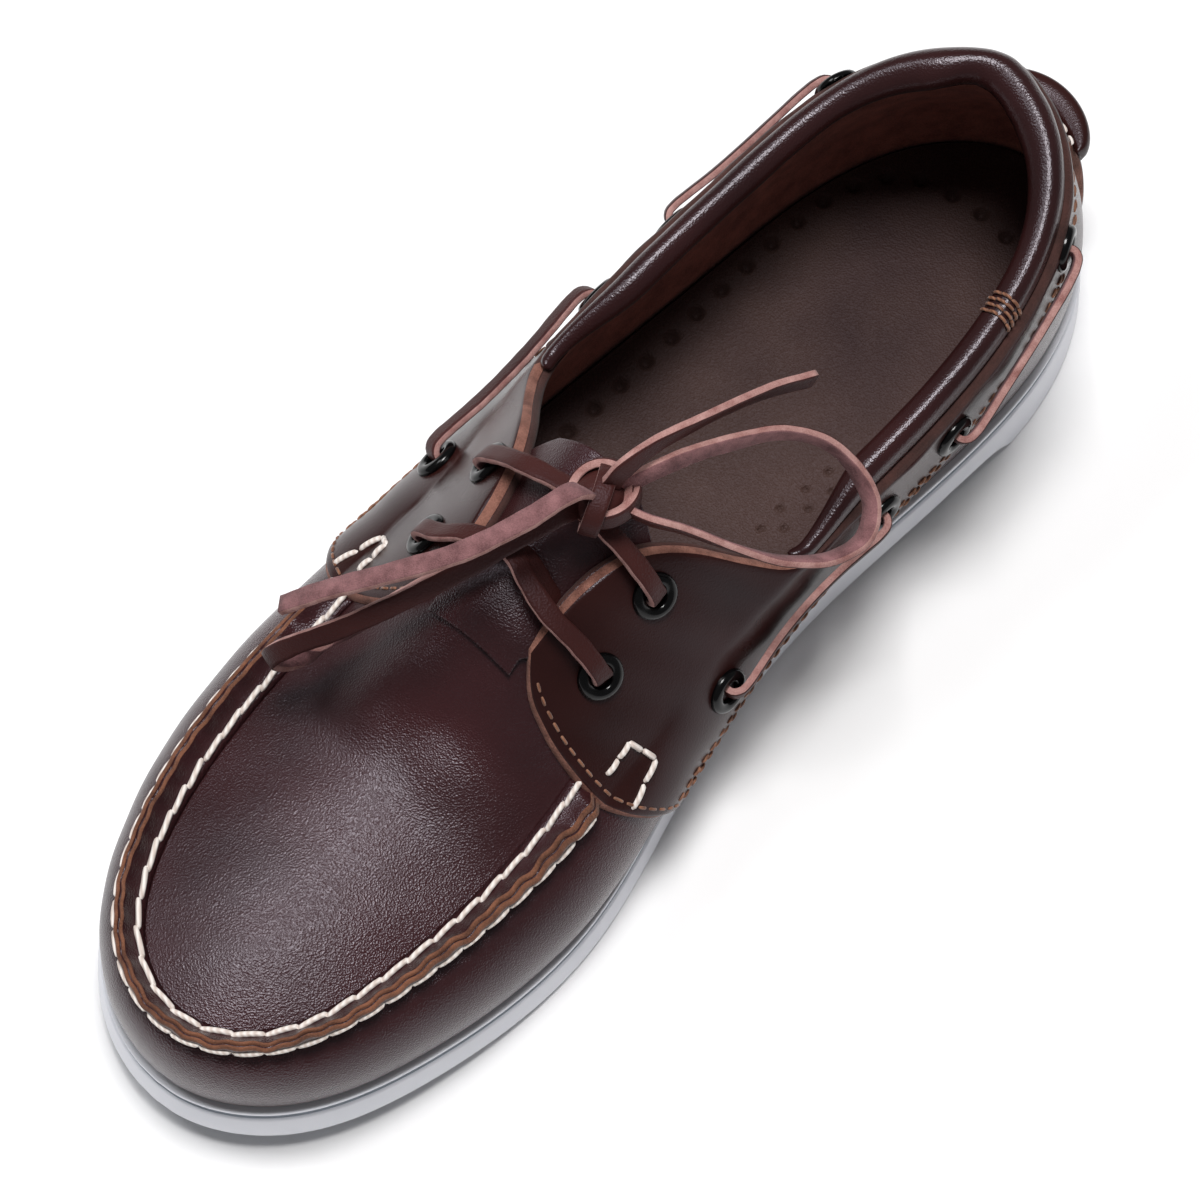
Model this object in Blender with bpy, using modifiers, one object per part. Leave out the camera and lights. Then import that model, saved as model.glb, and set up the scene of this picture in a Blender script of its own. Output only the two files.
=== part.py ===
"""Boat shoe for the right foot, empty, laced and standing on its sole.

Metres, +Z up. The toe points to -Y, the inner side of the foot is +X, and the floor is Z = 0.
The last is one function of two parameters: t runs once round the sole's outline from the back of
the heel by the inner side, and h climbs the leather: 0 at the sole, 1 at the seam or top line, 2 on
the ridge of the instep. Every leather piece is cut from that function.
"""

import bpy
import bmesh
import math
import numpy as np
from mathutils import Matrix, Vector

# Driving sizes
SOLE_LENGTH = 0.295
BALL_WIDTH = 0.106
INSTEP_HEIGHT = 0.092
COLLAR_HEIGHT = 0.0765
SOLE_THICKNESS = 0.0177
TOE_SPRING = 0.007
ARCH_HEIGHT = 0.0062
SOLE_LEDGE = 0.003
SOLE_LEDGE_HEIGHT = 0.0016
SOLE_GROOVE = 0.0009
SOLE_GROOVE_TOP = 0.0022
SOLE_GROOVE_BOTTOM = 0.0032
SOLE_SIDE_TOP = 0.0038
SOLE_FLARE = 0.0014
SOLE_ROUNDING = 0.0012
SOLE_BORDER = 0.0080
PLUG_SWELL = 0.0005
LEATHER = 0.0020
OVERLAY_LEATHER = 0.0015
TONGUE_LEATHER = 0.0015
TONGUE_GAP = 0.0009
FOOTBED = 0.0028
FOOTBED_MARGIN = 0.0016
FOOTBED_DISH = 0.010
SEAM_HEIGHT = 0.0060
ROLL_WIDTH = 0.0094
ROLL_HEIGHT = 0.0070
ROLL_THINNEST = 0.55
KICKER_WIDTH = 0.034
KICKER_DEPTH = 0.0065
KICKER_THICKNESS = 0.0042
KICKER_EDGE = 0.0008
EYELET_RADIUS = 0.0040
EYELET_RIM = 0.00125
LACE_WIDTH = 0.0034
LACE_THICKNESS = 0.0020
LACE_SLACK = 0.0005
KNOT_RADIUS = 0.0072
KNOT_SHAPE = (0.85, 1.0, 0.72)
TAG_LENGTH = 0.016
TAG_HEIGHT = 0.008
CLEARANCE = 0.0003
CENTRE_X = -0.00458
CENTRE_D = 0.14655
OVERLAY_GAP = 0.0005

# Shares of the length: where the sections lean to, and where pieces begin and end
HEEL_CENTRE_SHARE = 0.136
TOE_CENTRE_SHARE = 0.888
CENTRE_EASE_SHARE = 0.047
THROAT_FRONT_SHARE = 0.640
SEAM_START_SHARE = 0.655
SADDLE_STRAIGHT_SHARE = 0.598
ROLL_END_SHARE = 0.445
ROLL_TAPER_SHARE = 0.47
TAPER_RUN_SHARE = 0.06
TONGUE_REAR_SHARE = 0.515
TONGUE_CURVE_SHARE = 0.545
TONGUE_FRONT_SHARE = 0.628
TAG_SHARE = 0.175

# Shares of the way up the leather, in h
SEAM_FOOT_SHARE = 1.19
EDGE_STEP_SHARE = 0.012
STRAP_FOOT_SHARE = 0.02
TONGUE_EDGE_SHARE = 1.36
TONGUE_CORNER_SHARE = 0.30
KICKER_SHARE = 0.545

# Pulls of the curves: how far the control points of the wall and the plug stand from their ends, as
# shares of the wall's rise and of the plug's span
WALL_PULL = 0.42
TOP_PULL = 0.36
TOP_PULL_TURN = 0.20
TURN_PULL = 1.30
PLUG_PULL = 0.30
PLUG_RISE = 0.45
RIDGE_PULL = 0.66

# Resolution: rows up the wall and over the plug, and the stations of the columns on each side as
# shares of the length, closer together round the throat and the tips
WALL_ROWS = 8
PLUG_ROWS = 7
STATIONS = [
    0.000, 0.003, 0.012, 0.028, 0.052, 0.085, 0.125, 0.170, 0.220, 0.270, 0.320, 0.365, 0.405, 0.435,
    0.456, 0.480, 0.508, 0.538, 0.568, 0.598, 0.622, 0.645, 0.668, 0.700, 0.740, 0.785, 0.830, 0.870,
    0.905, 0.935, 0.960, 0.980, 0.994, 1.000,
]

# The last, a row for each section round the outline. length is a share of SOLE_LENGTH from the
# heel, width, inset and bulge are shares of BALL_WIDTH, height is a share of COLLAR_HEIGHT, and
# turn is how far the wall has turned in at its top, 0 upright to 1 level.
LAST = [
    # name,              length  width   inset  height  bulge  turn
    ("heel_back",        0.000,  0.000,  0.156, 1.000,  0.038, 0.10),
    ("heel_in_corner",   0.035,  0.200,  0.122, 0.995,  0.038, 0.10),
    ("heel_in",          0.120,  0.330,  0.046, 0.955,  0.034, 0.10),
    ("waist_in_rear",    0.257,  0.345, -0.028, 0.838,  0.040, 0.12),
    ("waist_in",         0.400,  0.302, -0.048, 0.732,  0.072, 0.25),
    ("arch_in",          0.548,  0.333,  0.010, 0.595,  0.088, 0.60),
    ("ball_in",          0.706,  0.424,  0.071, 0.481,  0.048, 0.80),
    ("toe_in",           0.854,  0.376,  0.061, 0.497,  0.039, 0.85),
    ("toe_in_corner",    0.960,  0.233,  0.038, 0.516,  0.032, 0.85),
    ("toe_tip",          1.000,  0.035,  0.030, 0.525,  0.026, 0.85),
    ("toe_out_corner",   0.982, -0.190,  0.034, 0.516,  0.022, 0.85),
    ("toe_out",          0.876, -0.414,  0.058, 0.497,  0.028, 0.85),
    ("ball_out",         0.702, -0.512,  0.096, 0.481,  0.030, 0.80),
    ("joint_out",        0.561, -0.492,  0.114, 0.549,  0.034, 0.70),
    ("waist_out",        0.401, -0.453,  0.075, 0.732,  0.037, 0.25),
    ("waist_out_rear",   0.255, -0.392,  0.047, 0.838,  0.033, 0.12),
    ("heel_out",         0.120, -0.324,  0.072, 0.955,  0.034, 0.10),
    ("heel_out_corner",  0.037, -0.195,  0.130, 0.995,  0.038, 0.10),
]

# Top edge of the sole's side wall: share of length, share of SOLE_THICKNESS
SOLE_TOP = [
    (0.00, 1.000), (0.10, 0.994), (0.19, 0.972), (0.26, 0.887), (0.38, 0.689), (0.49, 0.605),
    (0.60, 0.576), (0.71, 0.616), (0.82, 0.757), (0.93, 0.960), (1.00, 1.028),
]

# Toe spring under the forefoot: share of length, share of TOE_SPRING
SOLE_SPRING = [
    (0.00, 0.00), (0.66, 0.00), (0.72, 0.04), (0.78, 0.20), (0.84, 0.44), (0.90, 0.69),
    (0.95, 0.84), (1.00, 1.00),
]

# Arch between the heel block and the forefoot: share of length, share of ARCH_HEIGHT
SOLE_ARCH = [
    (0.00, 0.00), (0.185, 0.00), (0.205, 0.70), (0.240, 1.00), (0.30, 0.66), (0.36, 0.32),
    (0.43, 0.08), (0.47, 0.00), (1.00, 0.00),
]

# Stations of the sole unit, shares of its length, close together at the heel breast and the tips
SOLE_STATIONS = [
    0.000, 0.003, 0.010, 0.025, 0.050, 0.085, 0.125, 0.160, 0.184, 0.194, 0.205, 0.222, 0.245, 0.275,
    0.310, 0.350, 0.395, 0.435, 0.475, 0.520, 0.570, 0.620, 0.670, 0.715, 0.760, 0.805, 0.850, 0.890,
    0.925, 0.955, 0.978, 0.991, 0.998, 1.000,
]

# Grooves between the lugs: share of length, share of BALL_WIDTH for the middle and the half width
SOLE_LUGS = [
    (0.045, 0.000, 0.14), (0.085, 0.005, 0.19), (0.125, 0.005, 0.22),
    (0.500, -0.060, 0.24), (0.540, -0.060, 0.26), (0.580, -0.060, 0.28), (0.620, -0.055, 0.30),
    (0.660, -0.050, 0.32), (0.700, -0.045, 0.33),
]
LUG_GROOVE_WIDTH = 0.0022
LUG_GROOVE_DEPTH = 0.0012

# Ridge of the instep: share of length, share of BALL_WIDTH, share of INSTEP_HEIGHT
RIDGE = [
    (0.30, -0.040, 1.000), (0.44, -0.045, 1.000), (0.51, -0.045, 0.957), (0.56, -0.042, 0.891),
    (0.62, -0.038, 0.793), (0.655, -0.034, 0.707), (0.71, -0.026, 0.582), (0.765, -0.018, 0.516),
    (0.80, -0.010, 0.505), (0.85, 0.000, 0.500), (0.92, 0.020, 0.484), (1.00, 0.047, 0.462),
]

# Throat: share of length, h of the edge of the opening (the plug is closed ahead of THROAT_FRONT_SHARE)
THROAT = [
    (0.00, 1.000), (0.430, 1.000), (0.452, 1.050), (0.475, 1.183), (0.508, 1.408), (0.537, 1.558),
    (0.565, 1.642), (0.610, 1.700), (0.640, 1.720),
]

# Saddle overlay. Lower edge: share of length, share of COLLAR_HEIGHT above the floor.
# Front edge: share of the way up it, share of SOLE_LENGTH from the heel.
SADDLE_LOWER = [
    (0.000, 0.826), (0.055, 0.795), (0.110, 0.735), (0.150, 0.700), (0.215, 0.630), (0.275, 0.552),
    (0.334, 0.480), (0.390, 0.425), (0.446, 0.376), (0.502, 0.335), (0.556, 0.292), (0.610, 0.280),
    (0.680, 0.280),
]
SADDLE_FRONT = [
    (0.00, 0.606), (0.08, 0.618), (0.20, 0.634), (0.35, 0.650), (0.50, 0.660), (0.65, 0.663),
    (0.80, 0.660), (0.92, 0.650), (1.00, 0.632),
]

# Section of the moccasin seam: share of its width inward, share of its height
SEAM_SECTION = [
    (0.96, 0.42), (0.64, 0.92), (0.54, 1.00), (0.36, 0.86), (0.26, 1.00), (0.10, 0.92), (0.00, 0.50),
]

# Section of the collar roll: share of its width inward, share of its height
ROLL_SECTION = [
    (0.06, 0.02), (0.02, 0.36), (0.10, 0.72), (0.38, 1.00), (0.70, 0.92), (0.96, 0.58), (0.96, 0.16),
    (0.64, 0.00),
]

# Section of the kicker: share of half its thickness up, share of its depth out
KICKER_SECTION = [
    (-1.00, 0.00), (-1.00, 0.45), (-0.55, 0.90), (0.00, 1.00), (0.55, 0.90), (1.00, 0.45), (1.00, 0.00),
]

# Eyelets: name, share of length, share of COLLAR_HEIGHT above the floor
EYELETS = [
    ("throat_front", 0.607, 0.775),
    ("throat_rear", 0.545, 0.872),
    ("side_a_front", 0.532, 0.492),
    ("side_a_rear", 0.366, 0.613),
    ("side_b_front", 0.292, 0.686),
    ("side_b_rear", 0.141, 0.874),
]
SIDE_BARS = [("lace_bar_a", "side_a_front", "side_a_rear"), ("lace_bar_b", "side_b_front", "side_b_rear")]

# Heel strap: share of the strap's height, half width as a share of BALL_WIDTH
STRAP = [(0.00, 0.190), (0.25, 0.160), (0.50, 0.150), (0.72, 0.172), (0.88, 0.215), (1.00, 0.290)]

# Lace over the tongue: share of length, h (past 2 on the far side), lift above the leather as a
# share of LACE_THICKNESS
CROSSING_ROUTE = [
    (0.604, 1.72, 2.30), (0.601, 1.88, 1.45), (0.598, 2.00, 1.10), (0.594, 2.11, 0.95), (0.590, 2.20, 0.80),
]
PULL_ROUTE = [(0.546, 1.78, 2.3), (0.547, 1.92, 1.3), (0.548, 2.03, 1.7)]

# The bow. Each route's points are (share of BALL_WIDTH, share of SOLE_LENGTH from the heel,
# share of INSTEP_HEIGHT).
KNOT_CENTRE = (0.0330, 0.5458, 0.9978)
LOOP_RIGHT = [
    (0.090, 0.5102, 1.049), (0.118, 0.4881, 1.052), (0.160, 0.4556, 1.027), (0.202, 0.4237, 0.978),
    (0.267, 0.4000, 0.908), (0.333, 0.3942, 0.837), (0.389, 0.4017, 0.788), (0.416, 0.4214, 0.766),
    (0.401, 0.4447, 0.766), (0.348, 0.4729, 0.799), (0.256, 0.5000, 0.870), (0.179, 0.5203, 0.940),
    (0.132, 0.5339, 0.978),
]
END_RIGHT = [
    (0.057, 0.5305, 1.103), (0.071, 0.5085, 1.120), (0.098, 0.4746, 1.109), (0.118, 0.4441, 1.078),
    (0.142, 0.4102, 1.033), (0.174, 0.3786, 0.984),
]
END_LEFT = [
    (0.019, 0.5644, 1.100), (-0.009, 0.6034, 1.109), (-0.063, 0.6441, 1.076), (-0.159, 0.6851, 1.011),
    (-0.247, 0.7149, 0.935), (-0.304, 0.7346, 0.870),
]
LOOP_LEFT = [
    (0.005, 0.5814, 1.027), (-0.024, 0.6102, 1.016), (-0.080, 0.6508, 0.957), (-0.142, 0.6864, 0.886),
    (-0.212, 0.7224, 0.810), (-0.274, 0.7475, 0.739), (-0.297, 0.7542, 0.676), (-0.283, 0.7407, 0.652),
    (-0.236, 0.7051, 0.685), (-0.175, 0.6678, 0.761), (-0.108, 0.6339, 0.848), (-0.061, 0.6034, 0.918),
    (-0.028, 0.5763, 0.962),
]

# Colours (linear) and finishes
COLOURS = {
    "leather": ((0.030, 0.012, 0.011), 0.34, 0.0),
    "seam": ((0.042, 0.018, 0.014), 0.45, 0.0),
    "saddle": ((0.027, 0.011, 0.010), 0.32, 0.0),
    "roll": ((0.030, 0.013, 0.012), 0.30, 0.0),
    "tongue": ((0.024, 0.011, 0.010), 0.50, 0.0),
    "footbed": ((0.034, 0.017, 0.014), 0.55, 0.0),
    "rubber": ((0.80, 0.81, 0.84), 0.45, 0.0),
    "eyelet": ((0.006, 0.006, 0.007), 0.20, 0.6),
    "lace": ((0.095, 0.040, 0.038), 0.62, 0.0),
    "tag": ((0.020, 0.010, 0.030), 0.80, 0.0),
}


def clear_scene():
    """Remove every object that the scene holds."""
    for item in list(bpy.data.objects):
        bpy.data.objects.remove(item, do_unlink=True)


def closed_curve(knots, values):
    """A smooth closed cubic through the values; the last knot is the period."""
    count = len(values)
    step = np.diff(knots)
    system = np.zeros((count, count))
    right = np.zeros(values.shape)
    rise = np.roll(values, -1, axis=0) - values
    for i in range(count):
        before, after = step[i - 1], step[i]
        following = (i + 1) % count
        system[i, i - 1] += 1 / before
        system[i, i] += 2 * (1 / before + 1 / after)
        system[i, following] += 1 / after
        right[i] = 3 * (rise[i - 1] / before ** 2 + rise[i] / after ** 2)
    slope = np.linalg.solve(system, right)

    def curve(position):
        wrapped = np.mod(np.asarray(position, float), knots[-1])
        i = np.clip(np.searchsorted(knots, wrapped, side="right") - 1, 0, count - 1)
        j = (i + 1) % count
        u = ((wrapped - knots[i]) / step[i])[..., None]
        width = step[i][..., None]
        return ((2 * u ** 3 - 3 * u ** 2 + 1) * values[i] + (u ** 3 - 2 * u ** 2 + u) * width * slope[i]
                + (3 * u ** 2 - 2 * u ** 3) * values[j] + (u ** 3 - u ** 2) * width * slope[j])

    return curve


def table_curve(rows, column=1, level=True):
    """A smooth curve through one column of a table whose first column is the position.

    With level it never swings past the table's own values between two rows.
    """
    place = np.array([row[0] for row in rows], float)
    value = np.array([row[column] for row in rows], float)
    step = np.diff(place)
    chord = np.diff(value) / step
    slope = np.empty_like(value)
    slope[0], slope[-1] = chord[0], chord[-1]
    slope[1:-1] = (chord[:-1] * step[1:] + chord[1:] * step[:-1]) / (step[1:] + step[:-1])
    if level:
        flat = chord[:-1] * chord[1:] <= 0
        steepest = 3 * np.minimum(np.abs(chord[:-1]), np.abs(chord[1:]))
        slope[1:-1] = np.where(flat, 0.0, np.clip(slope[1:-1], -steepest, steepest))

    def curve(position):
        x = np.clip(np.asarray(position, float), place[0], place[-1])
        i = np.clip(np.searchsorted(place, x, side="right") - 1, 0, len(step) - 1)
        u = (x - place[i]) / step[i]
        return ((2 * u ** 3 - 3 * u ** 2 + 1) * value[i] + (u ** 3 - 2 * u ** 2 + u) * step[i] * slope[i]
                + (3 * u ** 2 - 2 * u ** 3) * value[i + 1] + (u ** 3 - u ** 2) * step[i] * slope[i + 1])

    return curve


class Last:
    """The shape that the whole shoe is built on."""

    def __init__(self):
        plan = np.array([(row[1], row[2]) for row in LAST]) * [SOLE_LENGTH, BALL_WIDTH]
        wall = np.array([row[3:] for row in LAST]) * [BALL_WIDTH, COLLAR_HEIGHT, BALL_WIDTH, 1.0]
        chord = np.linalg.norm(np.roll(plan, -1, axis=0) - plan, axis=1)
        knots = np.concatenate([[0.0], np.cumsum(chord)])
        self.girth = knots[-1]
        knots = knots / self.girth
        self.plan = closed_curve(knots, plan)
        self.wall = closed_curve(knots, wall)
        self.sole_top = table_curve(SOLE_TOP)
        self.spring = table_curve(SOLE_SPRING)
        self.arch = table_curve(SOLE_ARCH)
        self.ridge_x = table_curve(RIDGE, 1)
        self.ridge_z = table_curve(RIDGE, 2)
        self.throat = table_curve(THROAT)
        self.saddle_lower = table_curve(SADDLE_LOWER)
        fine = np.linspace(0.0, 1.0, 4001)
        reach = self.outline(fine)[:, 0]
        self.toe = fine[np.argmax(reach)]
        rear = np.linspace(-0.1, 0.1, 801)
        self.heel = rear[np.argmin(self.outline(rear)[:, 0])]
        inner = fine[(fine > self.heel) & (fine <= self.toe)]
        outer = fine[(fine >= self.toe) & (fine < 1.0 + min(self.heel, 0.0))]
        self.inner_t, self.inner_d = inner, self.outline(inner)[:, 0]
        self.outer_t, self.outer_d = outer[::-1], self.outline(outer[::-1])[:, 0]

    def outline(self, t):
        """Points (d, x) of the sole's outline, d measured from the heel."""
        return self.plan(t)

    def outward(self, t):
        """Outward unit normal of the outline in plan."""
        small = 1e-4
        along = self.outline(t + small) - self.outline(t - small)
        along = along / np.linalg.norm(along, axis=-1, keepdims=True)
        return np.stack([-along[..., 1], along[..., 0]], axis=-1)

    def at(self, side, d):
        """t of the outline point at distance d from the heel on one side of the shoe."""
        if side == "inner":
            return np.interp(d, self.inner_d, self.inner_t)
        return np.interp(d, self.outer_d, self.outer_t)

    def top(self, d):
        """Height of the sole's top at d."""
        return self.sole_top(d / SOLE_LENGTH) * SOLE_THICKNESS

    def bottom(self, d):
        """Height of the side wall's lower edge at d."""
        share = d / SOLE_LENGTH
        spring, arch = np.maximum(self.spring(share), 0.0), np.maximum(self.arch(share), 0.0)
        return spring * TOE_SPRING + arch * ARCH_HEIGHT

    def inset_outline(self, t, inset):
        """The outline moved in by a distance."""
        return self.outline(t) - self.outward(t) * inset

    def centre(self, d):
        """d of the ridge point that a section starting at d leans to."""
        ease = CENTRE_EASE_SHARE * SOLE_LENGTH
        heel, toe = HEEL_CENTRE_SHARE * SOLE_LENGTH, TOE_CENTRE_SHARE * SOLE_LENGTH
        low = heel + ease * np.log1p(np.exp((d - heel) / ease))
        return toe - ease * np.log1p(np.exp((toe - low) / ease))

    def section(self, t, h):
        """Points of the leather's outer face at t and h, as (d, x, z), with the inward direction."""
        t, h = np.broadcast_arrays(np.asarray(t, float), np.asarray(h, float))
        foot = self.inset_outline(t, SOLE_LEDGE)
        d = self.outline(t)[..., 0]
        foot_z = self.top(d)
        inset, top, bulge, turn = np.moveaxis(self.wall(t), -1, 0)
        centre_d = self.centre(d)
        share = centre_d / SOLE_LENGTH
        centre = np.stack([centre_d, self.ridge_x(share) * BALL_WIDTH], axis=-1)
        inward = centre - foot
        reach = np.linalg.norm(inward, axis=-1)
        inward = inward / reach[..., None]
        rise = top - foot_z
        angle = turn * math.pi / 2
        pull = TOP_PULL + TOP_PULL_TURN * turn
        wall_points = [
            (np.zeros_like(top), foot_z),
            (-bulge, foot_z + WALL_PULL * rise),
            (inset - np.sin(angle) * pull * (inset + bulge) * TURN_PULL, top - np.cos(angle) * pull * rise),
            (inset, top),
        ]
        ridge = self.ridge_z(share) * INSTEP_HEIGHT
        plug_points = [
            (inset, top),
            (inset + (reach - inset) * PLUG_PULL, top + (ridge - top) * PLUG_RISE + PLUG_SWELL),
            (inset + (reach - inset) * RIDGE_PULL, ridge),
            (reach, ridge),
        ]
        low, high = np.clip(h, 0.0, 1.0), np.clip(h - 1.0, 0.0, 1.0)
        along = np.where(h > 1.0, bezier(plug_points, high, 0), bezier(wall_points, low, 0))
        height = np.where(h > 1.0, bezier(plug_points, high, 1), bezier(wall_points, low, 1))
        flat = foot + inward * along[..., None]
        return np.concatenate([flat, height[..., None]], axis=-1), inward

    def point(self, t, h):
        """World points of the leather's outer face."""
        return to_world(self.section(t, h)[0])

    def normal(self, t, h):
        """Outward unit normals of the leather's outer face."""
        small = 2e-4
        up = self.point(t, np.asarray(h) + 0.02) - self.point(t, np.maximum(np.asarray(h) - 0.02, 0.0))
        along = self.point(np.asarray(t) + small, h) - self.point(np.asarray(t) - small, h)
        normal = np.cross(up, along)
        return normal / np.linalg.norm(normal, axis=-1, keepdims=True)

    def keep_facets(self, t, h, grid):
        """Remember the upper's own facets, which every overlay follows."""
        self.facet_t = np.append(t, t[0] + 1.0)
        self.facet_h = np.concatenate([h, h[:, :1]], axis=1)
        self.facet_point = np.concatenate([grid, grid[:, :1]], axis=1)
        normal = self.normal(np.broadcast_to(t, h.shape), np.minimum(h, 1.97))
        self.facet_normal = np.concatenate([normal, normal[:, :1]], axis=1)

    def facet_column(self, t):
        """Column of the upper that each t falls in, and the share of the way across it."""
        wrapped = self.facet_t[0] + np.mod(t - self.facet_t[0], 1.0)
        column = np.clip(np.searchsorted(self.facet_t, wrapped, side="right") - 1, 0, len(self.facet_t) - 2)
        return column, (wrapped - self.facet_t[column]) / (self.facet_t[column + 1] - self.facet_t[column])

    def facet_rows(self, t):
        """h of every row of the upper at each t."""
        column, u = self.facet_column(np.asarray(t, float))
        return self.facet_h[:, column] * (1 - u) + self.facet_h[:, column + 1] * u

    def raised(self, t, h, lift):
        """Points at a distance outside the facets of the upper."""
        t, h, lift = np.broadcast_arrays(np.asarray(t, float), np.asarray(h, float), np.asarray(lift, float))
        column, u = self.facet_column(t)
        rows = self.facet_rows(t)
        row = np.clip((rows <= h).sum(axis=0) - 1, 0, WALL_ROWS + PLUG_ROWS - 1)
        low = np.take_along_axis(rows, row[None], axis=0)[0]
        high = np.take_along_axis(rows, row[None] + 1, axis=0)[0]
        v = np.clip((h - low) / np.maximum(high - low, 1e-9), 0.0, 1.0)
        out = 0.0
        weights = ((0, 0, (1 - u) * (1 - v)), (0, 1, u * (1 - v)), (1, 0, (1 - u) * v), (1, 1, u * v))
        for dr, dc, weight in weights:
            corner = (row + dr, column + dc)
            place = self.facet_point[corner] + self.facet_normal[corner] * lift[..., None]
            out = out + place * weight[..., None]
        return out

    def offset(self, t, h, lift):
        """Points at a distance outside the smooth form, also beyond the edge of the throat."""
        return self.point(t, h) + self.normal(t, h) * np.asarray(lift)[..., None]

    def level(self, t, z):
        """h at which the leather at t reaches the height z."""
        steps = np.linspace(0.0, 1.95, 80)
        heights = self.point(np.asarray(t, float)[..., None], steps)[..., 2]
        wanted = np.broadcast_to(np.asarray(z, float), heights.shape[:-1])
        flat_heights, flat_wanted = heights.reshape(-1, len(steps)), wanted.reshape(-1)
        found = [np.interp(w, np.maximum.accumulate(row), steps) for w, row in zip(flat_wanted, flat_heights)]
        return np.array(found).reshape(wanted.shape)


def bezier(points, u, axis):
    """One coordinate of a cubic Bezier curve."""
    a, b, c, d = (point[axis] for point in points)
    return (1 - u) ** 3 * a + 3 * u * (1 - u) ** 2 * b + 3 * u ** 2 * (1 - u) * c + u ** 3 * d


def to_world(points):
    """(d, x, z) from the heel to world coordinates."""
    points = np.asarray(points, float)
    return np.stack([points[..., 1] - CENTRE_X, CENTRE_D - points[..., 0], points[..., 2]], axis=-1)


def route_to_world(points):
    """A route's shares of width, length and height to world coordinates."""
    sizes = np.asarray(points, float) * [BALL_WIDTH, SOLE_LENGTH, INSTEP_HEIGHT]
    across, along, up = np.moveaxis(sizes, -1, 0)
    return to_world(np.stack([along, across, up], axis=-1))


def finish_material(name):
    """A Principled material from the table of colours."""
    colour, roughness, metallic = COLOURS[name]
    material = bpy.data.materials.new(name)
    material.use_nodes = True
    shader = material.node_tree.nodes["Principled BSDF"]
    shader.inputs["Base Color"].default_value = (*colour, 1.0)
    shader.inputs["Roughness"].default_value = roughness
    shader.inputs["Metallic"].default_value = metallic
    material.diffuse_color = (*colour, 1.0)
    return material


def add_mesh(name, vertices, faces, finish, merge=0.0):
    """A mesh object in the shoe's collection, with its own material."""
    mesh = bpy.data.meshes.new(name)
    mesh.from_pydata([tuple(v) for v in np.asarray(vertices, float)], [], faces)
    if merge > 0.0:
        shape = bmesh.new()
        shape.from_mesh(mesh)
        bmesh.ops.remove_doubles(shape, verts=shape.verts, dist=merge)
        shape.to_mesh(mesh)
        shape.free()
    item = bpy.data.objects.new(name, mesh)
    mesh.materials.append(finish_material(finish))
    bpy.data.collections["boat_shoe"].objects.link(item)
    mesh.shade_smooth()
    mesh.set_sharp_from_angle(angle=math.radians(40))
    return item


def grid_faces(rows, columns, closed):
    """Quads of a grid stored row by row; closed joins the last column to the first."""
    faces = []
    for r in range(rows - 1):
        for c in range(columns if closed else columns - 1):
            n = (c + 1) % columns
            faces.append((r * columns + c, (r + 1) * columns + c, (r + 1) * columns + n, r * columns + n))
    return faces


def add_sheet(name, grid, thickness, side, finish, closed=False, even=True):
    """An open grid of points given a thickness; side -1 grows inwards, 1 outwards."""
    rows, columns = grid.shape[:2]
    item = add_mesh(name, grid.reshape(-1, 3), grid_faces(rows, columns, closed), finish, merge=1e-6)
    solidify = item.modifiers.new("thickness", "SOLIDIFY")
    solidify.thickness = thickness
    solidify.offset = side
    solidify.use_even_offset = even
    return item


def add_sweep(name, sections, finish, caps=True):
    """A closed section, one row of points for each place along the sweep."""
    count, corners = sections.shape[:2]
    faces = grid_faces(count, corners, True)
    if caps:
        faces.append(tuple(range(corners))[::-1])
        faces.append(tuple(range((count - 1) * corners, count * corners)))
    item = add_mesh(name, sections.reshape(-1, 3), faces, finish)
    point_outwards(item)
    return item


def point_outwards(item):
    """Turn a closed mesh's faces so that they all point out."""
    shape = bmesh.new()
    shape.from_mesh(item.data)
    bmesh.ops.recalc_face_normals(shape, faces=shape.faces)
    shape.to_mesh(item.data)
    shape.free()


def column_places(last, stations):
    """t and d of each column round the outline: heel, inner side, toe, outer side."""
    d = np.asarray(stations) * SOLE_LENGTH
    inner = last.at("inner", d[1:-1])
    outer = last.at("outer", d[1:-1])[::-1]
    return np.concatenate([[last.heel], inner, [last.toe], outer]), np.concatenate([d, d[1:-1][::-1]])


def ring_solid(name, last, t, rings, finish):
    """A slab from rings of one inset and height each, closed by ladders of faces across it."""
    points = []
    for inset, height in rings:
        flat = last.inset_outline(t, inset)
        points.append(to_world(np.concatenate([flat, np.broadcast_to(height, t.shape)[:, None]], axis=-1)))
    columns = len(t)
    faces = grid_faces(len(rings), columns, True)
    for start in (0, (len(rings) - 1) * columns):
        for i in range(columns // 2):
            partner, after = (columns - i) % columns, columns - i - 1
            corners = [start + i, start + partner, start + after, start + i + 1]
            faces.append(tuple(dict.fromkeys(corners)))
    item = add_mesh(name, np.concatenate(points), faces, finish)
    point_outwards(item)
    return item


def lug_cutter():
    """Bars that cut the grooves between the lugs, one mesh for all of them."""
    shape = bmesh.new()
    for share, middle, half in SOLE_LUGS:
        size = (2 * half * BALL_WIDTH, LUG_GROOVE_WIDTH, 2 * LUG_GROOVE_DEPTH)
        place = to_world((share * SOLE_LENGTH, middle * BALL_WIDTH, 0.0))
        matrix = Matrix.Translation(Vector(place)) @ Matrix.Diagonal((*size, 1.0))
        bmesh.ops.create_cube(shape, size=1.0, matrix=matrix)
    mesh = bpy.data.meshes.new("lug_cutter")
    shape.to_mesh(mesh)
    shape.free()
    item = bpy.data.objects.new("lug_cutter", mesh)
    bpy.data.collections["cutters"].objects.link(item)
    item.hide_render = True
    item.display_type = "WIRE"
    return item


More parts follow.
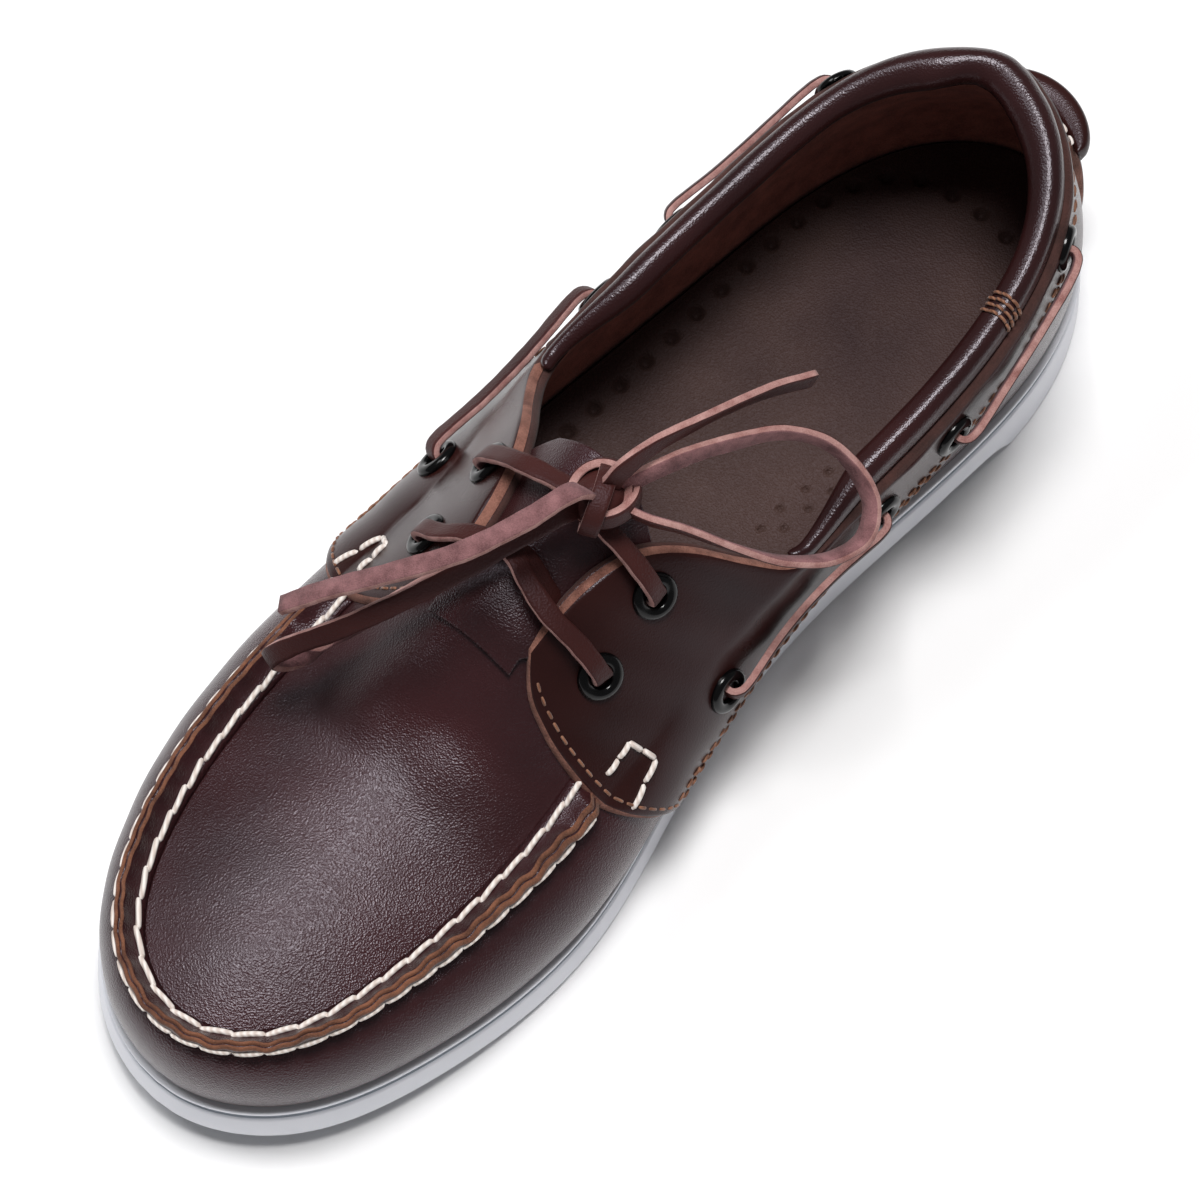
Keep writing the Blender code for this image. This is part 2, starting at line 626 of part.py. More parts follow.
def build_outsole(last):
    """The rubber unit: ledge and groove at the top, heel block, arch, toe spring and lugs."""
    t, d = column_places(last, SOLE_STATIONS)
    top, bottom = last.top(d), last.bottom(d)
    rings = [
        (SOLE_LEDGE + LEATHER * 2, top),
        (SOLE_FLARE, top),
        (SOLE_FLARE, top - SOLE_LEDGE_HEIGHT),
        (SOLE_FLARE + SOLE_GROOVE, top - SOLE_GROOVE_TOP),
        (SOLE_FLARE + SOLE_GROOVE, top - SOLE_GROOVE_BOTTOM),
        (SOLE_FLARE * 0.7, top - SOLE_SIDE_TOP),
        (0.0, bottom + SOLE_ROUNDING),
        (SOLE_ROUNDING, bottom),
        (SOLE_BORDER, bottom),
    ]
    item = ring_solid("outsole", last, t, rings, "rubber")
    cut = item.modifiers.new("lugs", "BOOLEAN")
    cut.operation = "DIFFERENCE"
    cut.solver = "EXACT"
    cut.object = lug_cutter()
    return item


def build_insole(last):
    """The footbed: a dished slab just inside the upper's wall."""
    t, d = column_places(last, STATIONS)
    base = last.top(d) + 2 * CLEARANCE
    margin = SOLE_LEDGE + LEATHER + FOOTBED_MARGIN
    rings = [
        (margin + FOOTBED_DISH, base + FOOTBED * 0.75),
        (margin, base + FOOTBED),
        (margin, base),
        (margin + FOOTBED_DISH, base),
    ]
    return ring_solid("insole", last, t, rings, "footbed")


def upper_rows(last, t, d):
    """h of every row in every column: the wall, then the plug up to the throat or the ridge."""
    edge = np.where(d / SOLE_LENGTH > THROAT_FRONT_SHARE, 2.0, last.throat(d / SOLE_LENGTH))
    wall = np.linspace(0.0, 1.0, WALL_ROWS + 1)[:, None] * np.ones_like(t)
    plug = 1.0 + np.linspace(0.0, 1.0, PLUG_ROWS + 1)[1:, None] * (edge - 1.0)
    return np.concatenate([wall, plug])


def build_upper(last):
    """The hollow leather upper, open at the collar, the throat and underneath."""
    t, d = column_places(last, STATIONS)
    h = upper_rows(last, t, d)
    grid = last.point(np.broadcast_to(t, h.shape), h)
    last.keep_facets(t, h, grid)
    grid[0, :, 2] += CLEARANCE
    return add_sheet("upper", grid, LEATHER, -1.0, "leather", closed=True, even=False)


def build_moc_seam(last):
    """The raised seam: a strip that stands on the join of wall and plug, round the toe."""
    t, d = column_places(last, STATIONS)
    front = np.where(d / SOLE_LENGTH > SEAM_START_SHARE)[0]
    t = t[front]
    rows = [1.0, 1.0 + 1 / PLUG_ROWS, 1.0 + 2 / PLUG_ROWS]
    base = [last.raised(t, np.full_like(t, h), np.full_like(t, OVERLAY_GAP)) for h in rows]
    foot = (SEAM_FOOT_SHARE - rows[1]) * PLUG_ROWS
    base[2] = base[1] * (1 - foot) + base[2] * foot
    across = base[2] - base[0]
    along = np.gradient(base[0], axis=0)
    up = np.cross(across, along)
    up = up / np.linalg.norm(up, axis=1, keepdims=True)
    up = up * np.sign(up[:, 2:]) + [0.0, 0.0, 1.0]
    up = up / np.linalg.norm(up, axis=1, keepdims=True)
    crest = [base[0] + across * share + up * rise * SEAM_HEIGHT for share, rise in SEAM_SECTION]
    sections = np.stack(base + crest, axis=1)
    return add_sweep("moc_seam", sections, "seam")


def saddle_edges(last, t):
    """h of a saddle's lower and upper edges at t."""
    share = last.outline(t)[..., 0] / SOLE_LENGTH
    return last.level(t, last.saddle_lower(share) * COLLAR_HEIGHT), last.throat(share) - EDGE_STEP_SHARE


def side_columns(last, side, share):
    """t of the upper's own columns from a share of the length back to the heel, on one side."""
    start = float(last.at(side, share * SOLE_LENGTH))
    gap = OVERLAY_GAP / 2 / last.girth
    if side == "inner":
        inside = last.facet_t[(last.facet_t > last.heel + 2 * gap) & (last.facet_t < start - 1e-4)]
        return np.concatenate([[start], inside[::-1], [last.heel + gap]])
    inside = last.facet_t[(last.facet_t > start + 1e-4) & (last.facet_t < last.heel + 1.0 - 2 * gap)]
    return np.concatenate([[start], inside, [last.heel + 1.0 - gap]])


def build_saddle(last, side):
    """The overlay that carries the eyelets, cut from the upper's own rows and columns."""
    columns = side_columns(last, side, SADDLE_STRAIGHT_SHARE)
    rows = last.facet_rows(columns[:1])
    lower, upper = saddle_edges(last, columns[:1])
    rise = np.clip((rows - lower) / (upper - lower), 0.0, 1.0)
    start = last.at(side, table_curve(SADDLE_FRONT)(rise) * SOLE_LENGTH)
    front_t = start + (columns[0] - start) * np.array([0.0, 0.34, 0.68])
    front_lower, front_upper = saddle_edges(last, front_t)
    front_h = front_lower + (front_upper - front_lower) * rise
    lower, upper = saddle_edges(last, columns)
    h = np.concatenate([front_h, np.clip(last.facet_rows(columns), lower, upper)], axis=1)
    t = np.concatenate([front_t, np.broadcast_to(columns, (h.shape[0], len(columns)))], axis=1)
    grid = last.raised(t, h, OVERLAY_GAP)
    if side == "inner":
        grid = grid[:, ::-1]
    return add_sheet("saddle_" + side, grid, OVERLAY_LEATHER, 1.0, "saddle")


def build_heel_strap(last):
    """The strap down the back of the heel, wide where it meets the saddles."""
    rows = np.unique(np.clip(last.facet_rows(np.array([last.heel])), STRAP_FOOT_SHARE, 1.0))[:, None]
    edge = float(last.level(np.array([last.heel]), last.saddle_lower(0.0) * COLLAR_HEIGHT)[0])
    rows = np.append(rows[rows < edge - STRAP_FOOT_SHARE], edge)[:, None]
    half = table_curve(STRAP)(rows / edge) * BALL_WIDTH / last.girth
    t = last.heel + half * np.linspace(-1.0, 1.0, 17)
    lower, upper = saddle_edges(last, t)
    top = last.level(t, last.point(t, lower)[..., 2] - 2 * OVERLAY_GAP)
    grid = last.raised(t, top * rows / edge, OVERLAY_GAP)
    return add_sheet("heel_strap", grid, OVERLAY_LEATHER, 1.0, "saddle")


def build_kicker(last):
    """The pinched ridge across the heel strap."""
    across = np.linspace(-1.0, 1.0, 15)
    t = last.heel + across * KICKER_WIDTH / 2 / last.girth
    half = KICKER_THICKNESS / 2
    seat = OVERLAY_GAP + OVERLAY_LEATHER + 2 * CLEARANCE
    reach = KICKER_EDGE + (KICKER_DEPTH - KICKER_EDGE) * np.sqrt(np.maximum(1 - across ** 2, 0.0))
    sections = []
    for up, out in KICKER_SECTION:
        h = last.level(t, KICKER_SHARE * COLLAR_HEIGHT + up * half)
        sections.append(last.raised(t, h, seat + out * reach))
    return add_sweep("kicker_tab", np.stack(sections, axis=1), "saddle")


def build_collar_roll(last):
    """The padded roll on the top line, from one side of the throat round the heel to the other."""
    t, d = column_places(last, STATIONS)
    rear = d / SOLE_LENGTH < ROLL_END_SHARE
    inner = t[rear & (t <= last.toe)]
    outer = t[rear & (t > last.toe)]
    t = np.concatenate([outer - 1.0, inner])
    seat, inward = last.section(t, np.ones_like(t))
    inward = np.concatenate([inward, np.zeros_like(inward[:, :1])], axis=-1)
    ahead = ROLL_TAPER_SHARE - last.outline(t)[:, 0] / SOLE_LENGTH
    taper = np.clip(ahead / TAPER_RUN_SHARE, ROLL_THINNEST, 1.0)
    sections = []
    for across, up in ROLL_SECTION:
        shift = (across * ROLL_WIDTH * taper)[:, None]
        rise = CLEARANCE + up * ROLL_HEIGHT * taper
        lift = np.stack([np.zeros_like(rise), np.zeros_like(rise), rise], axis=-1)
        sections.append(to_world(seat + inward * shift + lift))
    return add_sweep("collar_roll", np.stack(sections, axis=1), "roll")


def build_tongue(last):
    """The thin tongue under the edges of the throat."""
    along = np.linspace(TONGUE_REAR_SHARE, TONGUE_FRONT_SHARE, 8)
    rear = np.clip((TONGUE_CURVE_SHARE - along) / (TONGUE_CURVE_SHARE - TONGUE_REAR_SHARE), 0.0, 1.0)
    reach = TONGUE_EDGE_SHARE + TONGUE_CORNER_SHARE * rear ** 2
    rows = []
    for share, edge in zip(along, reach):
        d = share * SOLE_LENGTH
        inner = last.at("inner", d)
        outer = last.at("outer", d)
        h = np.linspace(edge, 2.0, 6)
        lift = -(LEATHER + TONGUE_GAP) * np.ones(6)
        near = last.offset(np.full(6, inner), h, lift)
        far = last.offset(np.full(5, outer), h[:-1], lift[:-1])[::-1]
        rows.append(np.concatenate([near, far]))
    return add_sheet("tongue", np.array(rows)[::-1], TONGUE_LEATHER, -1.0, "tongue")


def frame_at(last, side, share, height, lift):
    """Place and outward normal of a fitting on the saddle."""
    t = last.at(side, share * SOLE_LENGTH)
    h = last.level(t, height * COLLAR_HEIGHT)
    place = last.raised(t, h, np.asarray(lift))
    return place, last.normal(t, h)


def eyelet_lift():
    """Height of an eyelet's middle above the upper's face."""
    return OVERLAY_GAP + OVERLAY_LEATHER + CLEARANCE + EYELET_RIM * 0.6


def build_eyelets(last):
    """A rolled metal rim at every lace hole."""
    bpy.ops.mesh.primitive_torus_add(
        major_radius=EYELET_RADIUS, minor_radius=EYELET_RIM, major_segments=12, minor_segments=5)
    pattern = bpy.context.active_object
    pattern.data.transform(Matrix.Diagonal((1.0, 1.0, 0.6, 1.0)))
    for side in ("inner", "outer"):
        for name, share, height in EYELETS:
            place, normal = frame_at(last, side, share, height, eyelet_lift())
            item = bpy.data.objects.new("eyelet_" + side + "_" + name, pattern.data.copy())
            item.location = Vector(place)
            item.rotation_mode = "QUATERNION"
            item.rotation_quaternion = Vector(normal).to_track_quat("Z", "Y")
            item.data.materials.append(finish_material("eyelet"))
            item.data.shade_smooth()
            bpy.data.collections["boat_shoe"].objects.link(item)
    bpy.data.objects.remove(pattern, do_unlink=True)


def flat_sections(path, up):
    """Rectangular sections of a flat lace along a path; up is the direction its face looks."""
    along = np.gradient(path, axis=0)
    along = along / np.linalg.norm(along, axis=1, keepdims=True)
    across = np.cross(along, up)
    across = across / np.linalg.norm(across, axis=1, keepdims=True)
    face = np.cross(across, along)
    corners = []
    for side, lift in ((-1, -1), (1, -1), (1, 1), (-1, 1)):
        corners.append(path + across * side * LACE_WIDTH / 2 + face * lift * LACE_THICKNESS / 2)
    return np.stack(corners, axis=1)


def build_lace_bars(last):
    """The straight runs of lace along each side, from eyelet to eyelet."""
    places = {name: (share, height) for name, share, height in EYELETS}
    low = eyelet_lift() + LACE_THICKNESS * 0.6
    high = eyelet_lift() + EYELET_RIM * 0.6 + CLEARANCE + LACE_THICKNESS / 2 + LACE_SLACK
    profile = [(0.00, low), (0.035, high * 1.04), (0.12, high), (0.30, high * 0.97), (0.50, high * 0.96),
               (0.70, high * 0.97), (0.88, high), (0.965, high * 1.04), (1.00, low)]
    for side in ("inner", "outer"):
        for name, first, second in SIDE_BARS:
            points, normals = [], []
            for along, lift in profile:
                share = places[first][0] + (places[second][0] - places[first][0]) * along
                height = places[first][1] + (places[second][1] - places[first][1]) * along
                place, normal = frame_at(last, side, share, height, lift)
                points.append(place)
                normals.append(normal)
            sections = flat_sections(np.array(points), np.array(normals))
            add_sweep(name + "_" + side, sections, "lace")


def over_ridge(last, near, share, h, lift):
    """Place and normal above the leather; h past 2 comes down on the far side of the ridge."""
    far = "outer" if near == "inner" else "inner"
    side, level = (near, h) if h <= 2.0 else (far, 4.0 - h)
    t = last.at(side, share * SOLE_LENGTH)
    normal = last.normal(t, min(level, 1.95))
    blend = min(abs(h - 2.0) / 0.25, 1.0)
    normal = normal * blend + np.array([0.0, 0.0, 1.0]) * (1.0 - blend)
    normal = normal / np.linalg.norm(normal)
    return last.point(t, level) + normal * lift, normal


def lace_run(last, name, near, eyelet, route, count):
    """A flat lace from a throat eyelet over the tongue; a row for each place: share, h, lift."""
    share, height = [row[1:] for row in EYELETS if row[0] == eyelet][0]
    start = float(last.level(last.at(near, share * SOLE_LENGTH), height * COLLAR_HEIGHT))
    high = eyelet_lift() + EYELET_RIM * 0.6 + CLEARANCE + LACE_THICKNESS / 2 + LACE_SLACK
    rows = [(share, start, eyelet_lift() + LACE_THICKNESS * 0.6), (share, start + 0.055, high * 1.03)]
    rows += [(share, start + 0.20, high)]
    rows += [(place, h, lift * LACE_THICKNESS) for place, h, lift in route]
    places = [over_ridge(last, near, *row) for row in rows]
    points = smooth_route(np.array([place for place, normal in places]), count)
    normals = resample(np.array([normal for place, normal in places]), count)
    return add_sweep(name, flat_sections(points, normals), "lace")


def build_crossing(last):
    """Two runs of lace that cross over the tongue, from the front eyelets to the far throat edge."""
    runs = []
    for side in ("inner", "outer"):
        runs.append(lace_run(last, "run_" + side, side, "throat_front", CROSSING_ROUTE, 20))
    join_solids("lace_crossing", runs)


def build_pull(last):
    """The two ends of lace that climb from the rear throat eyelets to the knot."""
    runs = []
    for side in ("inner", "outer"):
        runs.append(lace_run(last, "pull_" + side, side, "throat_rear", PULL_ROUTE, 14))
    join_solids("lace_pull", runs)


def resample(values, count):
    """Rows spread evenly over a list of vectors, then made unit length."""
    place = np.linspace(0.0, 1.0, len(values))
    wanted = np.linspace(0.0, 1.0, count)
    out = np.stack([np.interp(wanted, place, values[:, k]) for k in range(values.shape[1])], axis=1)
    return out / np.linalg.norm(out, axis=1, keepdims=True)


def smooth_route(points, count):
    """Evenly spaced points on a smooth curve through a route's own points."""
    chord = np.linalg.norm(np.diff(points, axis=0), axis=1)
    place = np.concatenate([[0.0], np.cumsum(chord)])
    dense = np.linspace(0.0, place[-1], 400)
    curves = [table_curve(list(zip(place, points[:, k])), level=False) for k in range(3)]
    line = np.stack([curve(dense) for curve in curves], axis=1)
    run = np.concatenate([[0.0], np.cumsum(np.linalg.norm(np.diff(line, axis=0), axis=1))])
    wanted = np.linspace(0.0, run[-1], count)
    return np.stack([np.interp(wanted, run, line[:, k]) for k in range(3)], axis=1)


def join_solids(name, pieces):
    """Boolean union of closed pieces, applied, under a new name."""
    base = pieces[0]
    for other in pieces[1:]:
        union = base.modifiers.new("union", "BOOLEAN")
        union.operation = "UNION"
        union.solver = "EXACT"
        union.object = other
    graph = bpy.context.evaluated_depsgraph_get()
    mesh = bpy.data.meshes.new_from_object(base.evaluated_get(graph))
    item = bpy.data.objects.new(name, mesh)
    bpy.data.collections["boat_shoe"].objects.link(item)
    for piece in pieces:
        bpy.data.objects.remove(piece, do_unlink=True)
    mesh.materials.clear()
    mesh.materials.append(finish_material("lace"))
    return item


def build_knot():
    """The knot as one rounded lump."""
    bpy.ops.mesh.primitive_uv_sphere_add(segments=14, ring_count=8, radius=KNOT_RADIUS)
    item = bpy.context.active_object
    item.name = "lace_knot"
    item.data.transform(Matrix.Diagonal((*KNOT_SHAPE, 1.0)))
    item.data.materials.append(finish_material("lace"))
    item.data.shade_smooth()
    item.location = Vector(route_to_world(KNOT_CENTRE))
    for group in list(item.users_collection):
        group.objects.unlink(item)
    bpy.data.collections["boat_shoe"].objects.link(item)


def knot_seat(point):
    """The place just off the knot's surface in the direction of a point."""
    centre = np.array(route_to_world(KNOT_CENTRE))
    toward = point - centre
    toward = toward / np.linalg.norm(toward)
    radius = KNOT_RADIUS / np.linalg.norm(toward / np.array(KNOT_SHAPE))
    return centre + toward * (radius + 2 * CLEARANCE)


def build_cord(name, route, count, both):
    """A free run of lace as a round tube, seated on the knot at its start or at both ends."""
    points = route_to_world(route)
    seats = [knot_seat(points[0])], [knot_seat(points[-1])] if both else []
    points = smooth_route(np.array([*seats[0], *points, *seats[1]]), count)
    curve = bpy.data.curves.new(name, "CURVE")
    curve.dimensions = "3D"
    curve.bevel_depth = LACE_WIDTH * 0.4
    curve.bevel_resolution = 2
    curve.use_fill_caps = True
    spline = curve.splines.new("POLY")
    spline.points.add(count - 1)
    for place, point in zip(spline.points, points):
        place.co = (*point, 1.0)
    curve.materials.append(finish_material("lace"))
    item = bpy.data.objects.new(name, curve)
    bpy.data.collections["boat_shoe"].objects.link(item)


def build_tag(last):
    """A plain cloth tag that hangs from the outer saddle's lower edge."""
    share = np.linspace(TAG_SHARE, TAG_SHARE + TAG_LENGTH / SOLE_LENGTH, 5)
    t = last.at("outer", share * SOLE_LENGTH)
    drop = np.linspace(0.0, 1.0, 4)[:, None]
    z = last.saddle_lower(share) * COLLAR_HEIGHT - 2 * OVERLAY_GAP - drop * TAG_HEIGHT
    h = last.level(np.broadcast_to(t, z.shape), z)
    grid = last.raised(np.broadcast_to(t, z.shape), h, np.full(z.shape, OVERLAY_GAP))
    return add_sheet("side_tag", grid, OVERLAY_LEATHER * 0.7, 1.0, "tag")


def main():
    """Build every piece of the shoe."""
    clear_scene()
    shoe = bpy.data.collections.new("boat_shoe")
    bpy.context.scene.collection.children.link(shoe)
    cutters = bpy.data.collections.new("cutters")
    bpy.context.scene.collection.children.link(cutters)
    last = Last()
    build_outsole(last)
    build_insole(last)
    build_upper(last)
    build_moc_seam(last)
    build_saddle(last, "inner")
    build_saddle(last, "outer")
    build_heel_strap(last)
    build_kicker(last)
    build_collar_roll(last)
    build_tongue(last)
    build_eyelets(last)
    build_lace_bars(last)
    build_crossing(last)
    build_pull(last)
    build_knot()
    build_cord("lace_loop_right", LOOP_RIGHT, 22, True)
    build_cord("lace_loop_left", LOOP_LEFT, 22, True)
    build_cord("lace_end_right", END_RIGHT, 11, False)
    build_cord("lace_end_left", END_LEFT, 12, False)
    build_tag(last)


main()
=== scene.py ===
# %% [markdown]
# # A boat shoe in dark brown leather
# The imported solids are loaded first and never moved. Every visible piece is then made again with
# more detail, in the same metres and the same place, and the solids it stands for are hidden.

# %% Load the solids
import math
import bpy
import bmesh
import numpy as np
from mathutils import Matrix


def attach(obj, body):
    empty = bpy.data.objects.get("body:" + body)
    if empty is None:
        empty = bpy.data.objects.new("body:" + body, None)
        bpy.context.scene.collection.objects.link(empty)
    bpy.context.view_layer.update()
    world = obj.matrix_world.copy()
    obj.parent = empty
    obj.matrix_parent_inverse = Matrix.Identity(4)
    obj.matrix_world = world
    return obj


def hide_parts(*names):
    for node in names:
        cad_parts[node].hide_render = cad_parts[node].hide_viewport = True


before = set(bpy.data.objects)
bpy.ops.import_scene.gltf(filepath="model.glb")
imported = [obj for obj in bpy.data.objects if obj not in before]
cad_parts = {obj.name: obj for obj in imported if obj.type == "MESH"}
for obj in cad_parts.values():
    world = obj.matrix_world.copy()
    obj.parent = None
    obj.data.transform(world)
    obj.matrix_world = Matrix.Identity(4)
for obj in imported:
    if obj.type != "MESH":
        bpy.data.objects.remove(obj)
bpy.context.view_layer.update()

# %% [markdown]
# ## The last
# A shoe is built on a last, a model of the foot. Here the last is one function of two numbers: t
# runs once round the sole from the back of the heel by the inner side, and h climbs the leather,
# 0 at the sole, 1 at the seam or top line and 2 on the ridge of the instep. The tables are those
# that the solids were made from, so everything fits.

# %% Sizes in metres
SOLE_LENGTH = 0.295
BALL_WIDTH = 0.106
INSTEP_HEIGHT = 0.092
COLLAR_HEIGHT = 0.0765
SOLE_THICKNESS = 0.0177
TOE_SPRING = 0.007
ARCH_HEIGHT = 0.0062
SOLE_LEDGE = 0.003
LEATHER = 0.0020
CENTRE_X = -0.00458
CENTRE_D = 0.14655
MM = 0.001
UP = np.array([0.0, 0.0, 1.0])

LAST = np.array([
    # length  width   inset  height  bulge  turn
    (0.000,  0.000,  0.156, 1.000,  0.038, 0.10),
    (0.035,  0.200,  0.122, 0.995,  0.038, 0.10),
    (0.120,  0.330,  0.046, 0.955,  0.034, 0.10),
    (0.257,  0.345, -0.028, 0.838,  0.040, 0.12),
    (0.400,  0.302, -0.048, 0.732,  0.072, 0.25),
    (0.548,  0.333,  0.010, 0.595,  0.088, 0.60),
    (0.706,  0.424,  0.071, 0.481,  0.048, 0.80),
    (0.854,  0.376,  0.061, 0.497,  0.039, 0.85),
    (0.960,  0.233,  0.038, 0.516,  0.032, 0.85),
    (1.000,  0.035,  0.030, 0.525,  0.026, 0.85),
    (0.982, -0.190,  0.034, 0.516,  0.022, 0.85),
    (0.876, -0.414,  0.058, 0.497,  0.028, 0.85),
    (0.702, -0.512,  0.096, 0.481,  0.030, 0.80),
    (0.561, -0.492,  0.114, 0.549,  0.034, 0.70),
    (0.401, -0.453,  0.075, 0.732,  0.037, 0.25),
    (0.255, -0.392,  0.047, 0.838,  0.033, 0.12),
    (0.120, -0.324,  0.072, 0.955,  0.034, 0.10),
    (0.037, -0.195,  0.130, 0.995,  0.038, 0.10),
])
SOLE_TOP = [(0.00, 1.000), (0.10, 0.994), (0.19, 0.972), (0.26, 0.887), (0.38, 0.689), (0.49, 0.605),
            (0.60, 0.576), (0.71, 0.616), (0.82, 0.757), (0.93, 0.960), (1.00, 1.028)]
SOLE_SPRING = [(0.00, 0.00), (0.66, 0.00), (0.72, 0.04), (0.78, 0.20), (0.84, 0.44), (0.90, 0.69),
               (0.95, 0.84), (1.00, 1.00)]
SOLE_ARCH = [(0.00, 0.00), (0.185, 0.00), (0.205, 0.70), (0.240, 1.00), (0.30, 0.66), (0.36, 0.32),
             (0.43, 0.08), (0.47, 0.00), (1.00, 0.00)]
RIDGE = [(0.30, -0.040, 1.000), (0.44, -0.045, 1.000), (0.51, -0.045, 0.957), (0.56, -0.042, 0.891),
         (0.62, -0.038, 0.793), (0.655, -0.034, 0.707), (0.71, -0.026, 0.582), (0.765, -0.018, 0.516),
         (0.80, -0.010, 0.505), (0.85, 0.000, 0.500), (0.92, 0.020, 0.484), (1.00, 0.047, 0.462)]
THROAT = [(0.00, 1.000), (0.430, 1.000), (0.452, 1.050), (0.475, 1.183), (0.508, 1.408), (0.537, 1.558),
          (0.565, 1.642), (0.610, 1.700), (0.640, 1.720)]
SADDLE_LOWER = [(0.000, 0.826), (0.055, 0.795), (0.110, 0.735), (0.150, 0.700), (0.215, 0.630),
                (0.275, 0.552), (0.334, 0.480), (0.390, 0.425), (0.446, 0.376), (0.502, 0.335),
                (0.556, 0.292), (0.610, 0.280), (0.680, 0.280)]
SADDLE_FRONT = [(0.00, 0.606), (0.08, 0.618), (0.20, 0.634), (0.35, 0.650), (0.50, 0.660), (0.65, 0.663),
                (0.80, 0.660), (0.92, 0.650), (1.00, 0.632)]


# %% Curves through tables
def closed_curve(knots, values):
    """A closed cubic spline: the slopes at the knots solve one linear system."""
    count = len(values)
    step = np.diff(knots)
    system, right = np.zeros((count, count)), np.zeros(values.shape)
    for i in range(count):
        before, after, following = step[i - 1], step[i], (i + 1) % count
        system[i, i - 1] += 1 / before
        system[i, i] += 2 * (1 / before + 1 / after)
        system[i, following] += 1 / after
        right[i] = 3 * ((values[i] - values[i - 1]) / before ** 2
                        + (values[following] - values[i]) / after ** 2)
    slope = np.linalg.solve(system, right)

    def curve(position):
        wrapped = np.mod(np.asarray(position, float), knots[-1])
        i = np.clip(np.searchsorted(knots, wrapped, side="right") - 1, 0, count - 1)
        j, width = (i + 1) % count, step[i][..., None]
        u = ((wrapped - knots[i]) / step[i])[..., None]
        return ((2 * u ** 3 - 3 * u ** 2 + 1) * values[i] + (u ** 3 - 2 * u ** 2 + u) * width * slope[i]
                + (3 * u ** 2 - 2 * u ** 3) * values[j] + (u ** 3 - u ** 2) * width * slope[j])

    return curve


def table_curve(rows, column=1, level=True):
    """A cubic through one column of a table; with level it never swings past the rows' values."""
    place = np.array([row[0] for row in rows], float)
    value = np.array([row[column] for row in rows], float)
    step, chord = np.diff(place), np.diff(value) / np.diff(place)
    inner = (chord[:-1] * step[1:] + chord[1:] * step[:-1]) / (step[1:] + step[:-1])
    slope = np.concatenate([chord[:1], inner, chord[-1:]])
    if level:
        steepest = 3 * np.minimum(np.abs(chord[:-1]), np.abs(chord[1:]))
        slope[1:-1] = np.where(chord[:-1] * chord[1:] <= 0, 0.0, np.clip(slope[1:-1], -steepest, steepest))

    def curve(position):
        x = np.clip(np.asarray(position, float), place[0], place[-1])
        i = np.clip(np.searchsorted(place, x, side="right") - 1, 0, len(step) - 1)
        u = (x - place[i]) / step[i]
        return ((2 * u ** 3 - 3 * u ** 2 + 1) * value[i] + (u ** 3 - 2 * u ** 2 + u) * step[i] * slope[i]
                + (3 * u ** 2 - 2 * u ** 3) * value[i + 1] + (u ** 3 - u ** 2) * step[i] * slope[i + 1])

    return curve


def smooth(x):
    """0 below 0, 1 above 1, and a smooth step between."""
    x = np.clip(x, 0.0, 1.0)
    return x * x * (3 - 2 * x)


# %% The last as a function
PLAN = LAST[:, :2] * [SOLE_LENGTH, BALL_WIDTH]
KNOTS = np.concatenate([[0.0], np.cumsum(np.linalg.norm(np.roll(PLAN, -1, axis=0) - PLAN, axis=1))])
GIRTH = KNOTS[-1]
outline = closed_curve(KNOTS / GIRTH, PLAN)
wall_sizes = closed_curve(KNOTS / GIRTH, LAST[:, 2:] * [BALL_WIDTH, COLLAR_HEIGHT, BALL_WIDTH, 1.0])
sole_top_share, sole_spring_share, sole_arch_share = map(table_curve, (SOLE_TOP, SOLE_SPRING, SOLE_ARCH))
ridge_x, ridge_z = table_curve(RIDGE, 1), table_curve(RIDGE, 2)
throat_edge, saddle_lower, saddle_front = map(table_curve, (THROAT, SADDLE_LOWER, SADDLE_FRONT))

FINE = np.linspace(0.0, 1.0, 4001)
REACH = outline(FINE)[:, 0]
TOE_T = FINE[np.argmax(REACH)]
HEEL_T = FINE[np.argmin(np.roll(REACH, 400))] - 0.1 if REACH.argmin() > 3600 else FINE[REACH.argmin()]
INNER_T = FINE[(FINE > HEEL_T) & (FINE <= TOE_T)]
OUTER_T = FINE[(FINE >= TOE_T) & (FINE < 1.0 + min(HEEL_T, 0.0))][::-1]


def at_side(side, d):
    """t of the outline point at distance d from the heel on one side."""
    places = INNER_T if side == "inner" else OUTER_T
    return np.interp(d, outline(places)[:, 0], places)


def share_of(t):
    """Distance from the heel as a share of the sole's length."""
    return outline(t)[..., 0] / SOLE_LENGTH


def outward(t):
    """Outward unit normal of the outline in plan, as (d, x)."""
    along = outline(t + 1e-4) - outline(t - 1e-4)
    along = along / np.linalg.norm(along, axis=-1, keepdims=True)
    return np.stack([-along[..., 1], along[..., 0]], axis=-1)


def sole_top(share):
    """Height of the sole's top."""
    return sole_top_share(share) * SOLE_THICKNESS


def sole_bottom(share):
    """Height of the lower edge of the sole's side: toe spring and arch."""
    spring, arch = np.maximum(sole_spring_share(share), 0), np.maximum(sole_arch_share(share), 0)
    return spring * TOE_SPRING + arch * ARCH_HEIGHT


def to_world(points):
    """(d, x, z) from the heel to world coordinates."""
    return np.stack([points[..., 1] - CENTRE_X, CENTRE_D - points[..., 0], points[..., 2]], axis=-1)


def bezier(a, b, c, d, u):
    """A cubic Bezier value."""
    return (1 - u) ** 3 * a + 3 * u * (1 - u) ** 2 * b + 3 * u ** 2 * (1 - u) * c + u ** 3 * d


